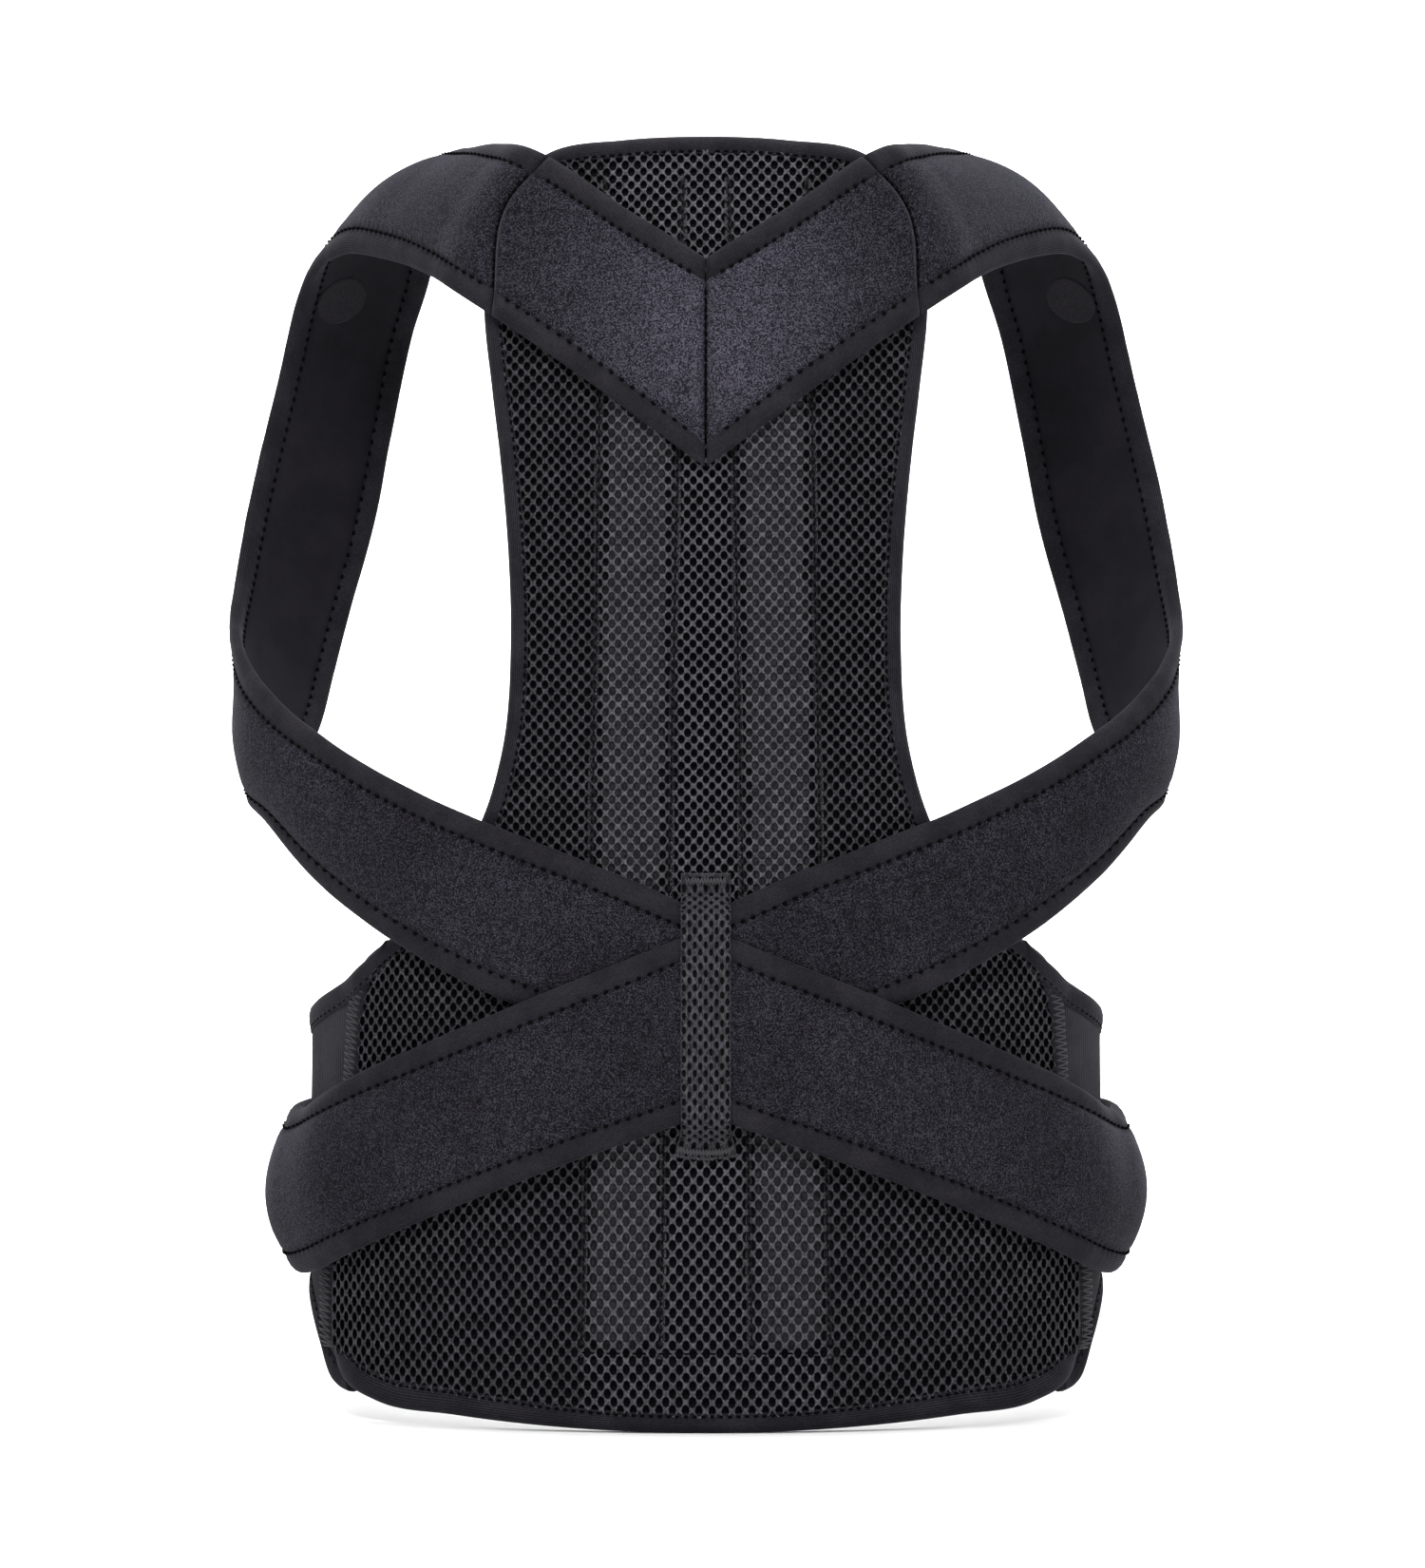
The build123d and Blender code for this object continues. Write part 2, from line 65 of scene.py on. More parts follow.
# The looks of the back brace. Lengths are in millimetres, and new_object() turns them into metres.
# The left side, the wearer's left, is at -X. Its points are mirrored for the right side.
MM = 0.001
SIDES = {"left": 1, "right": -1}

# The torso, the panel's edge, the straps, the belt and the keeper are where the CAD parts are.
TORSO_HALF_WIDTH = 156.0
TORSO_FRONT_DEPTH = 107.0
BACK_PROFILE = [
    (-8, 92), (60, 100), (150, 100), (250, 103), (350, 108), (410, 108.5), (460, 102), (512, 88),
]
PANEL_EDGE = [
    (0, 504), (-32, 502.8), (-61, 498.5), (-77, 487), (-84.5, 467), (-86.5, 440), (-83.2, 405),
    (-80.2, 380), (-76.8, 340), (-76, 308), (-79.5, 265), (-87.5, 238), (-103, 212), (-122, 193),
    (-135, 182), (-141, 169), (-143, 150), (-146, 90), (-149, 45), (-148.3, 28), (-143, 15),
    (-130, 8.5), (-99, 5), (-66, 2.2), (-33, 0.5), (0, 0),
]
CHANNEL_HALF_WIDTH = 15.2
CHANNEL_BOTTOM, CHANNEL_TOP = (33.0, 31.0), (24.0, 487.0)
BELT_TOP_EDGE = [
    (-69, 196), (-66, 190.5), (-62, 185.3), (-50, 176.8), (-40, 172), (-18, 165), (40, 157), (120, 150),
]
BELT_BOTTOM_EDGE = [(-62, 10), (-38, 13), (-25, 29), (-8, 43), (40, 49), (120, 52)]
FRONT_PANEL_Y = 78.0
LAP = {"left": 5.0, "right": 0.0}
LAP_X = 30.0
KEEPER_PATH = [
    (217.5, 12.4), (211, 12.6), (207, 17), (202.5, 23.4), (190, 24.3), (162, 24.4), (135, 24.3),
    (121, 23.6), (116, 18.5), (112.5, 13), (107.5, 12.6),
]
KEEPER_HALF_WIDTH = 10.0
MESH_TOP, FOAM_TOP = 9.4, 6.0


def curve_through(rows, steps, closed=False):
    """Rows along a smooth curve through the given rows, with so many steps to each stretch."""
    rows = np.asarray(rows, float)
    if closed:
        rows = np.vstack([rows[-1:], rows, rows[:2]])
    gaps = np.linalg.norm(np.diff(rows, axis=0), axis=1)[:, None]
    slopes = np.diff(rows, axis=0) / gaps
    inner = (slopes[:-1] * gaps[1:] + slopes[1:] * gaps[:-1]) / (gaps[1:] + gaps[:-1])
    tangents = np.vstack([slopes[:1], inner, slopes[-1:]])
    t = (np.arange(steps) / steps)[:, None, None]
    start, end = rows[:-1], rows[1:]
    line = (
        (2 * t**3 - 3 * t**2 + 1) * start + (t**3 - 2 * t**2 + t) * gaps * tangents[:-1]
        + (3 * t**2 - 2 * t**3) * end + (t**3 - t**2) * gaps * tangents[1:]
    )
    line = line.transpose(1, 0, 2)
    if closed:
        return line[1:-1].reshape(-1, rows.shape[1])
    return np.vstack([line.reshape(-1, rows.shape[1]), rows[-1:]])


def along(points):
    """Distance of each point from the first, along the line that they make."""
    return np.concatenate([[0], np.cumsum(np.linalg.norm(np.diff(points, axis=0), axis=1))])


def at_lengths(lengths, rows, places):
    """Rows of numbers at places along a line."""
    return np.stack([np.interp(places, lengths, column) for column in rows.T], axis=-1)


def unit(vectors):
    return vectors / np.maximum(np.linalg.norm(vectors, axis=-1, keepdims=True), 1e-9)


def smoothstep(low, high, values):
    t = np.clip((values - low) / (high - low), 0, 1)
    return t * t * (3 - 2 * t)


def wobble(a, b, size, seed):
    """A gentle unevenness between -1 and 1 over two coordinates."""
    random = np.random.default_rng(seed)
    total = 0
    for turn, shift in zip(random.uniform(0, 2 * math.pi, 5), random.uniform(0, 2 * math.pi, 5)):
        total = total + np.sin((a * math.cos(turn) + b * math.sin(turn)) * 2 * math.pi / size + shift)
        size = size * 0.83
    return total / 5


def back_depth(z):
    """Depth of the torso's back, which the straps follow."""
    return np.interp(z, *np.array(BACK_PROFILE).T)


def panel_line():
    """Depth of the torso behind the panel, read from the outer face of its CAD mesh layer."""
    points = np.array([vertex.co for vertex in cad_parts["back_mesh"].data.vertices]) / MM
    x, y, z = points[abs(points[:, 0]) < 110].T
    depth = abs(y) / np.sqrt(1 - (x / (TORSO_HALF_WIDTH + MESH_TOP)) ** 2) - MESH_TOP
    rows = []
    for height in range(14, 500, 14):
        near = abs(z - height) < 7
        outer = near & (depth > depth[near].max() - 0.5)
        rows.append((z[outer].mean(), depth[outer].mean()))
    first, last = 2 * np.array(rows[0]) - rows[1], 2 * np.array(rows[-1]) - rows[-2]
    return curve_through([first, *rows, last], 8).T


PANEL_LINE = panel_line()


def on_back(x, z, lift, depths=back_depth):
    """Points on the back at a height, lifted off the torso."""
    x, z, lift = np.broadcast_arrays(*(np.asarray(value, float) for value in (x, z, lift)))
    reach = np.sqrt(np.maximum(1 - (x / (TORSO_HALF_WIDTH + lift)) ** 2, 0))
    return np.stack([x, -(depths(z) + lift) * reach, z], axis=-1)


def on_panel(x, z, lift):
    """Points on the panel at a height, lifted off the torso."""
    return on_back(x, z, lift, lambda height: np.interp(height, *PANEL_LINE))


# ---------------------------------------------------------------- meshes

def new_object(name, points, faces, looks, slots=None, corners=None):
    """A smooth mesh object from points in millimetres. corners holds UV pairs, one per corner."""
    mesh = bpy.data.meshes.new(name)
    mesh.from_pydata((np.asarray(points) * MM).tolist(), [], faces)
    for look in looks:
        mesh.materials.append(look)
    if slots is not None:
        mesh.polygons.foreach_set("material_index", np.asarray(slots, np.int32))
    if corners is not None:
        layer = mesh.uv_layers.new(name="cloth")
        layer.data.foreach_set("uv", np.asarray(corners, np.float32).ravel())
    mesh.polygons.foreach_set("use_smooth", np.ones(len(faces), bool))
    mesh.update()
    thing = bpy.data.objects.new(name, mesh)
    bpy.context.collection.objects.link(thing)
    return thing


def bend(piece):
    """Bake a piece's transform into its mesh."""
    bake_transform(piece)


def declare(piece, slot, *nodes, body="root"):
    """Attach a piece to the body it rides on and hide the CAD nodes it stands for. slot is not used."""
    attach(piece, body)
    if nodes:
        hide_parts(*nodes)


def volume_sign(points, quads):
    """1 if the faces point outwards and -1 if they point inwards."""
    a, b, c, d = (points[quads[:, i]] for i in range(4))
    return np.sign((a * (np.cross(b, c) + np.cross(c, d))).sum())


def skin(name, rings, looks, slots=None, lengths=None, closed=False):
    """A closed skin over rings of points. The ends are filled, or joined if the skin is closed.

    slots gives the look of each stretch round a ring. The UVs are in millimetres: along the
    skin, then round it.
    """
    rows, columns = rings.shape[:2]
    points = rings.reshape(-1, 3)
    last = rows if closed else rows - 1
    i, j = (grid.ravel() for grid in np.meshgrid(np.arange(last), np.arange(columns), indexing="ij"))
    i2, j2 = (i + 1) % rows, (j + 1) % columns
    quads = np.stack([i * columns + j, i2 * columns + j, i2 * columns + j2, i * columns + j2], 1)
    if lengths is None:
        lengths = along(rings.mean(1))
    u = np.append(lengths, 2 * lengths[-1] - lengths[-2])
    v = along(np.vstack([rings[rows // 2], rings[rows // 2][:1]]))
    corners = np.stack([u[[i, i + 1, i + 1, i]], v[[j, j, j + 1, j + 1]]], -1).transpose(1, 0, 2)
    ends = [] if closed else [np.arange(columns), (rows - 1) * columns + np.arange(columns)[::-1]]
    if volume_sign(points, quads) < 0:
        quads, corners = quads[:, ::-1], corners[:, ::-1]
        ends = [end[::-1] for end in ends]
    faces = quads.tolist() + [end.tolist() for end in ends]
    corners = np.concatenate([corners.reshape(-1, 2), np.zeros((len(ends) * columns, 2))])
    per_face = None
    if slots is not None:
        per_face = np.concatenate([np.asarray(slots)[j], np.zeros(len(ends))])
    return new_object(name, points, faces, looks, per_face, corners)


# Growth of a net's hole from its middle size, and depth below the strands' tops, ring by ring.
NET_RINGS = [(0.32, 0.18), (0.10, 0.66), (-0.10, None)]
CORNERS = 8


def diamond_cells(reach, rows):
    """Column and row of each cell whose sum is even, so many columns to either side."""
    column, row = (grid.ravel() for grid in np.meshgrid(np.arange(-reach, reach + 1), rows))
    return np.stack([column, row], -1)[(column + row) % 2 == 0]


def shell(name, outer, inner, looks, lengths, slots=None):
    """A skin over two faces whose columns run opposite ways."""
    return skin(name, np.concatenate([outer, inner], 1), looks, slots, lengths)


def net(name, cells, pitch, hole, place, floor, looks, shallow=None):
    """A knitted net: one hole in the middle of each diamond-shaped cell, with rounded strands.

    cells are whole numbers, column and row, whose sum is even. place(u, v, h) gives points in
    space. floor gives the depth of each hole. looks are the strands' tops, their flanks in
    painted shade and the depth behind them, near black as painted shade; shallow holes show
    the flanks' look instead of the depth.
    """
    cells = np.asarray(cells)
    turns = np.arange(CORNERS) * 2 * math.pi / CORNERS
    outer = np.array([(2, 0), (1, 1), (0, 2), (-1, 1), (-2, 0), (-1, -1), (0, -2), (1, -1)])
    keys = (cells[:, None] * 2 + outer).reshape(-1, 2)
    shared, index = np.unique(keys, axis=0, return_inverse=True)
    index = index.reshape(-1, CORNERS)
    middle = cells * np.array(pitch) / 2
    flat = [shared * np.array(pitch) / 4]
    heights = [0.10 * wobble(shared[:, 0] * 1.3, shared[:, 1], 5, 4)]
    directions = np.stack([np.cos(turns), np.sin(turns)], -1)
    vary = 1 + 0.09 * wobble(middle[:, 0], middle[:, 1], 23, 5)
    for grow, depth in NET_RINGS:
        ring = middle[:, None] + directions * (np.array(hole) * vary[:, None] + grow)[:, None]
        flat.append(ring.reshape(-1, 2))
        level = floor if depth is None else np.minimum(depth, floor * 0.8)
        heights.append(-np.repeat(level, CORNERS))
    flat, heights = np.vstack(flat), np.concatenate(heights)
    points = place(flat[:, 0], flat[:, 1], heights)
    below = len(shared) + np.arange(len(NET_RINGS) * len(cells) * CORNERS)
    rings = [index, *below.reshape(len(NET_RINGS), -1, CORNERS)]
    low = np.full(len(cells), 2)
    if shallow is not None:
        low[shallow] = 1
    faces, slots = [], []
    for here, deeper, look in zip(rings, rings[1:], (0 * low, 0 * low + 1, low)):
        quads = np.stack([here, np.roll(here, -1, 1), np.roll(deeper, -1, 1), deeper], -1)
        faces.append(quads.reshape(-1, 4))
        slots.append(np.repeat(look, CORNERS))
    faces = np.vstack(faces).tolist() + rings[-1].tolist()
    return new_object(name, points, faces, looks, np.concatenate([*slots, low]))


# Share of a stitch's length, its thickness and its rise there, from hole to hole.
STITCH_ARCH = [(0, 0.35, -0.8), (0.2, 1, 0.1), (0.5, 1.1, 0.4), (0.8, 1, 0.1), (1, 0.35, -0.8)]
STITCH_SIDES = 6


def stitches(name, dashes, look, radius):
    """Short rounded threads. dashes holds start, end and outward direction of each."""
    start, end, up = (np.vstack(part) for part in zip(*dashes))
    ahead = unit(end - start)
    aside = unit(np.cross(up, ahead))
    up = np.cross(ahead, aside)
    turns = (np.arange(STITCH_SIDES) * 2 * math.pi / STITCH_SIDES)[:, None]
    around = np.cos(turns) * aside[:, None] + np.sin(turns) * up[:, None]
    rings = []
    for share, size, arch in STITCH_ARCH:
        middle = start + (end - start) * share + up * arch * radius
        rings.append(middle[:, None] + around * size * radius)
    points = np.stack(rings, 1).reshape(-1, 3)
    index = np.arange(len(points)).reshape(-1, len(STITCH_ARCH), STITCH_SIDES)
    here, deeper = index[:, :-1], index[:, 1:]
    quads = np.stack([here, np.roll(here, -1, 2), np.roll(deeper, -1, 2), deeper], -1)
    faces = quads.reshape(-1, 4).tolist() + index[:, 0, ::-1].tolist() + index[:, -1].tolist()
    return new_object(name, points, faces, [look])


def dashes_at(line, up, starts, length):
    """Stitches of a length from the given places along a line of points."""
    lengths = along(line)
    ends = at_lengths(lengths, line, starts + length)
    return at_lengths(lengths, line, starts), ends, at_lengths(lengths, up, starts)


def dashes_on(line, up, pitch, share):
    """Running stitches along a line of points. share is the part of the pitch that shows."""
    return dashes_at(line, up, np.arange(pitch / 2, along(line)[-1] - pitch, pitch), pitch * share)


def facing(direction, count):
    """One direction, repeated."""
    return np.tile(np.asarray(direction, float), (count, 1))


def zigzag(line, other, up, pitch):
    """Threads that go to and fro between two lines."""
    lengths = along(line)
    count = int(lengths[-1] / pitch)
    places = np.arange(count + 1) * pitch
    here, there = at_lengths(lengths, line, places), at_lengths(along(other), other, places)
    swap = (np.arange(count + 1) % 2)[:, None]
    points = here * (1 - swap) + there * swap
    return points[:-1], points[1:], at_lengths(lengths, up, places[:-1])


# ---------------------------------------------------------------- looks

class Look:
    """A procedural material under construction. level is the specular level of its shader."""

    def __init__(self, name, roughness, sheen=0.0, metallic=0.0, level=0.25):
        self.material = bpy.data.materials.new(name)
        self.material.use_nodes = True
        self.tree = self.material.node_tree
        self.shader = self.tree.nodes["Principled BSDF"]
        self.shader.inputs["Roughness"].default_value = roughness
        self.shader.inputs["Metallic"].default_value = metallic
        self.shader.inputs["Specular IOR Level"].default_value = level
        self.shader.inputs["Sheen Weight"].default_value = sheen
        self.shader.inputs["Sheen Roughness"].default_value = 0.35
        self.shader.inputs["Sheen Tint"].default_value = (0.75, 0.76, 0.9, 1)
        self.place = self.tree.nodes.new("ShaderNodeTexCoord")

    def node(self, kind, links=None, **settings):
        made = self.tree.nodes.new("ShaderNode" + kind)
        for key, value in settings.items():
            setattr(made, key, value)
        for socket, value in (links or {}).items():
            if isinstance(value, bpy.types.NodeSocket):
                self.tree.links.new(value, made.inputs[socket])
            else:
                made.inputs[socket].default_value = value
        return made

    def noise(self, size_mm, detail=2.0, rough=0.55, stretch=(1, 1, 1)):
        """Noise between 0 and 1 whose blobs are about so many millimetres across."""
        spread = self.node("Mapping", {0: self.place.outputs["Object"], "Scale": stretch})
        links = {"Vector": spread.outputs[0], "Scale": 1 / (size_mm * MM)}
        return self.node("TexNoise", links | {"Detail": detail, "Roughness": rough}).outputs["Fac"]

    def ramp(self, value, low, high, at=(0.35, 0.65)):
        """A value spread between two others."""
        links = {"Value": value, "From Min": at[0], "From Max": at[1], "To Min": low, "To Max": high}
        return self.node("MapRange", links, interpolation_type="SMOOTHSTEP").outputs[0]

    def maths(self, operation, *values):
        return self.node("Math", dict(enumerate(values)), operation=operation).outputs[0]

    def waves(self, axis, pitch_mm):
        """Ribs between 0 and 1 across one of the UV directions."""
        split = self.node("SeparateXYZ", {0: self.place.outputs["UV"]})
        angle = self.maths("MULTIPLY", split.outputs[axis], 2 * math.pi / pitch_mm)
        return self.maths("MULTIPLY_ADD", self.maths("SINE", angle), 0.5, 0.5)

    def mix(self, factor, dark, light):
        """A colour between two others."""
        links = {0: factor, 6: (*dark, 1), 7: (*light, 1)}
        return self.node("Mix", links, data_type="RGBA").outputs[2]

    def shade(self, colour, factor):
        """A colour made darker or lighter by a factor."""
        tone = self.node("CombineColor", {0: factor, 1: factor, 2: factor}).outputs[0]
        links = {0: 1.0, 6: colour, 7: tone}
        return self.node("Mix", links, data_type="RGBA", blend_type="MULTIPLY").outputs[2]

    def finish(self, colour, height=None, depth_mm=0.2, strength=0.6):
        """The material, with its colour and the bumps of its surface."""
        self.tree.links.new(colour, self.shader.inputs["Base Color"])
        if height is not None:
            bump = self.node("Bump", {"Height": height, "Strength": strength, "Distance": depth_mm * MM})
            self.tree.links.new(bump.outputs[0], self.shader.inputs["Normal"])
        return self.material


# Painted light: the pile is made lighter towards this point, in metres, where most light falls on the
# yoke.
YOKE_MIDDLE = (0.0, -0.12, 0.43)
PAINTED_LIGHT_REACH = 0.09


def fleece_look():
    """Loop pile: fine speckles of lit loops over dark gaps, random patches and painted light at the yoke.
    """
    look = Look("loop_fleece_pile", 0.95, sheen=0.08, level=0.03)
    clumps = look.maths("MULTIPLY", look.noise(2.4, 1.0), 0.14)
    loops = look.maths("MULTIPLY_ADD", look.noise(0.62, 2.0, 0.6), 0.86, clumps)
    specks = look.ramp(loops, 0, 1, (0.42, 0.65))
    patches = look.ramp(look.noise(55, 2), 0.9, 1.12)
    pile = look.shade(look.mix(specks, (0.0044, 0.0041, 0.0054), (0.0298, 0.0281, 0.0369)), patches)
    ends = {0: look.place.outputs["Object"], 1: YOKE_MIDDLE}
    away = look.node("VectorMath", ends, operation="DISTANCE").outputs["Value"]
    # Painted light: the pile is up to 2.35 times lighter at the yoke's middle.
    yoke_painted_light = look.ramp(away, 2.35, 1.0, (0.0, PAINTED_LIGHT_REACH))
    return look.finish(look.shade(pile, yoke_painted_light), loops, 0.55, 0.8)


def ribbed_look(name, surface, rib, fibres, tone, grain, dark, light, bump):
    """Ribbed cloth.

    rib is the pitch and height of its ribs, and tone is the noise of its patches and how far
    they vary.
    """
    look = Look(name, *surface)
    ribs = look.maths("MULTIPLY", look.waves(1, rib[0]), rib[1])
    height = look.maths("ADD", ribs, look.noise(*fibres))
    patches = look.ramp(look.noise(*tone[:2]), 1 - tone[2], 1 + tone[2])
    cloth = look.mix(look.ramp(height, 0, 1, grain), dark, light)
    return look.finish(look.shade(cloth, patches), height, *bump)


def grained_look(name, surface, grain, dark, light, bump):
    """One noise between two colours, for yarns and metal."""
    look = Look(name, *surface)
    fibres = look.noise(*grain)
    return look.finish(look.mix(fibres, dark, light), fibres, *bump)


def strand_look(name, dark, light, stretch=0.45):
    """Knit strands of the air mesh: bundles of filaments with broken highlights."""
    look = Look(name, 0.7, sheen=0.02, level=0.10)
    fibres = look.noise(0.5, 3, 0.6, (1, 1, stretch))
    tone = look.ramp(look.noise(3.2, 2), 0.78, 1.2)
    colour = look.shade(look.mix(look.ramp(fibres, 0, 1), dark, light), tone)
    return look.finish(colour, fibres, 0.22, 0.7)


def nap_look(name, size_mm, dark, light, depth_mm):
    """The matted face of hook tape or of loop tape."""
    look = Look(name, 0.85, sheen=0.03, level=0.08)
    nap = look.noise(size_mm, 3, 0.7)
    colour = look.mix(look.ramp(nap, 0, 1), dark, light)
    return look.finish(colour, nap, depth_mm, 0.8)


def foam_look():
    """Closed cells about a millimetre across."""
    look = Look("foam_core_cells", 0.9, level=0.2)
    links = {"Vector": look.place.outputs["Object"], "Scale": 900.0}
    cells = look.node("TexVoronoi", links).outputs["Distance"]
    walls = look.ramp(cells, 0, 1, (0.1, 0.7))
    return look.finish(look.mix(walls, (0.03, 0.03, 0.034), (0.07, 0.07, 0.075)), cells, 0.3)


# A surface is its roughness, sheen, metal and specular level. A bump is its depth and strength.
FLEECE = fleece_look()
TAPE = ribbed_look(
    "binding_tape_knit", (0.88, 0.05, 0, 0.05), (0.8, 0.5), (0.9, 3, 0.65), (14, 3, 0.18), (0.35, 1.0),
    (0.0036, 0.0034, 0.0043), (0.0172, 0.0164, 0.0204), (0.2, 0.6),
)
# Two copies of one knit: the side fields' strands are darker as painted shade, and the middle field's and
# channels' strands are lighter as painted light.
STRANDS = strand_look("air_mesh_strands", (0.0105, 0.0103, 0.012), (0.0475, 0.0464, 0.0525))
MIDDLE_LIT_STRANDS = strand_look("stay_channel_strands", (0.027, 0.0265, 0.030), (0.074, 0.0725, 0.0815))
SEAM = strand_look("pulled_seam_yarn", (0.0025, 0.0025, 0.003), (0.009, 0.0088, 0.010))
KEEPER_STRANDS = strand_look("keeper_strands", (0.010, 0.0098, 0.0115), (0.047, 0.046, 0.052), 0.2)
# Painted shade: a darker copy of the strands for their flanks and for the floors of shallow holes.
SHADED_FLANKS = strand_look("air_mesh_strand_flanks_painted_shade", (0.003, 0.003, 0.0036), (0.014, 0.0136, 0.0156))
# Spacer yarns deep inside the mesh, darkened to near black as painted shade in the holes.
DEPTH = grained_look(
    "mesh_depth_yarn_painted_shade", (0.95, 0, 0, 0.05), (0.5, 2), (0.0015, 0.0015, 0.002), (0.006, 0.006, 0.008), (0.2,)
)
LINING = ribbed_look(
    "lining_warp_knit", (0.8, 0.02, 0, 0.06), (0.8, 1.0), (0.7, 2), (22, 3, 0.15), (0.2, 1.4),
    (0.0052, 0.0047, 0.0063), (0.0106, 0.0098, 0.0126), (0.1, 0.35),
)
ELASTIC = ribbed_look(
    "ribbed_elastic", (0.75, 0.04, 0, 0.08), (0.55, 0.6), (0.6, 2, 0.5, (1, 1, 0.3)), (18, 2, 0.15),
    (0.3, 1.1), (0.0085, 0.0082, 0.0103), (0.023, 0.022, 0.0275), (0.1, 0.5),
)
MATT, BRIGHT = (0.7, 0, 0, 0.02), (0.7, 0.02, 0, 0.12)
TWIST, TWIST_BUMP = (0.3, 1), (0.08, 0.5)
# Dark thread, made near black so that it also stands in as painted shade of the stitch holes.
DARK_THREAD_AND_SHADE = grained_look(
    "seam_thread_dark_painted_shade", MATT, TWIST, (0.0006, 0.0006, 0.0008), (0.0028, 0.0027, 0.0033), TWIST_BUMP
)
OVERLOCK_THREAD = grained_look(
    "overlock_thread", BRIGHT, TWIST, (0.014, 0.014, 0.016), (0.050, 0.049, 0.055), TWIST_BUMP
)
GREY_THREAD = grained_look(
    "tack_thread_grey", BRIGHT, TWIST, (0.018, 0.018, 0.02), (0.062, 0.061, 0.067), TWIST_BUMP
)
DISC_CLOTH = nap_look("strap_disc_cloth", 0.6, (0.008, 0.0074, 0.009), (0.019, 0.0176, 0.0212), 0.2)
HOOKS = nap_look("hook_tape_nylon", 0.5, (0.006, 0.006, 0.007), (0.022, 0.022, 0.025), 0.3)
LOOPS = nap_look("loop_tape_nap", 0.9, (0.010, 0.010, 0.012), (0.045, 0.044, 0.05), 0.6)


# ---------------------------------------------------------------- back panel

PANEL_LIFT = 9.0
# Distance round the torso, for each distance from the middle seen from behind.
ARC_X = np.linspace(0, 160, 1601)
ARC = along(on_panel(ARC_X, 200, PANEL_LIFT))
BOTTOM_SEAM_Z = 31
# Pitch of the stitches along the channels, and the part of it that shows.
CHANNEL_STITCH = (3.4, 0.66)
FINE_THREAD, MEDIUM_THREAD, HEAVY_THREAD = 0.34, 0.5, 0.58
BACKWARDS = (0, -1, 0)


def outline(inset=0.0, spacing=1.25):
    """Even points of the panel's edge seen from behind, and the direction inwards, moved inwards."""
    left = PANEL_EDGE
    right = [(-x, z) for x, z in PANEL_EDGE[-2:0:-1]]
    ring = curve_through(left + right, 16, closed=True)
    ring = np.vstack([ring, ring[:1]])
    lengths = along(ring)
    count = round(lengths[-1] / spacing)
    points = at_lengths(lengths, ring, np.arange(count) * lengths[-1] / count)
    ahead = unit(np.roll(points, -1, 0) - np.roll(points, 1, 0))
    inwards = np.stack([-ahead[:, 1], ahead[:, 0]], -1)
    return points + inwards * inset, inwards


def half_width(z, inset):
    """Half of the panel's width at a height, measured to a line inside its edge."""
    points, _ = outline(inset)
    left = points[points[:, 0] <= 0]
    order = np.argsort(left[:, 1])
    return np.interp(z, left[order, 1], -left[order, 0], left=-1, right=-1)


def channel_x(z):
    """Distance of a stay channel's middle line from the middle of the panel."""
    (low_x, low_z), (high_x, high_z) = CHANNEL_BOTTOM, CHANNEL_TOP
    return low_x + (high_x - low_x) * (z - low_z) / (high_z - low_z)


def seam_distance(x, z):
    """Distance to the nearer seam of a stay channel."""
    across = abs(x) - channel_x(z)
    return np.minimum(abs(across + CHANNEL_HALF_WIDTH), abs(across - CHANNEL_HALF_WIDTH))


def seam_extent(z):
    """1 along the seams of the stay channels and 0 beyond their ends."""
    return smoothstep(28, 36, z) * (1 - smoothstep(484, 492, z))


def channel_share(x, z):
    """1 on the middle line of a stay channel and 0 at its seams and beyond its ends."""
    across = np.clip(1 - ((abs(x) - channel_x(z)) / CHANNEL_HALF_WIDTH) ** 2, 0, 1)
    return across * smoothstep(30, 39, z) * (1 - smoothstep(440, 478, z))


def panel_lift(x, z):
    """Height of the panel's face above the torso: puffed between the seams and pulled in at them."""
    gap = seam_distance(x, z)
    puff = 0.7 * (1 - np.exp(-gap / 6)) + 1.8 * channel_share(x, z)
    seams = 2.4 * seam_extent(z) * np.exp(-((gap / 1.5) ** 2))
    hem = 1.8 * np.exp(-(((z - BOTTOM_SEAM_Z) / 1.8) ** 2)) * (1 - smoothstep(52, 60, abs(x)))
    return PANEL_LIFT + puff - seams - hem + 0.3 * wobble(x, z, 70, 3)


# The net is stretched towards the waist, where its holes are taller.
NET_STEP = 2.0
NET_HEIGHTS = np.arange(-20.0, 530.0, NET_STEP)
NET_STRETCH = 1.22 - 0.22 * smoothstep(60, 250, NET_HEIGHTS[1:])
NET_ROWS = np.concatenate([[0], np.cumsum(NET_STEP / NET_STRETCH)])
PANEL_NET_PITCH, PANEL_NET_HOLE = (4.85, 5.25), (1.18, 1.56)
PANEL_NET_REACH = 190


def net_to_panel(u, v):
    """Place on the panel of a place in the flat net."""
    z = np.interp(v, NET_ROWS, NET_HEIGHTS)
    u = u * (1.06 - 0.06 * smoothstep(60, 250, z))
    return np.sign(u) * np.interp(abs(u), ARC, ARC_X), z


def panel_net_place(u, v, h):
    """Points of the panel's net: u runs round the torso and v upwards."""
    u = u + 0.45 * wobble(u, v, 61, 1)
    v = v + 0.45 * wobble(u, v, 53, 2)
    x, z = net_to_panel(u, v)
    return on_panel(x, z, panel_lift(x, z) + h)


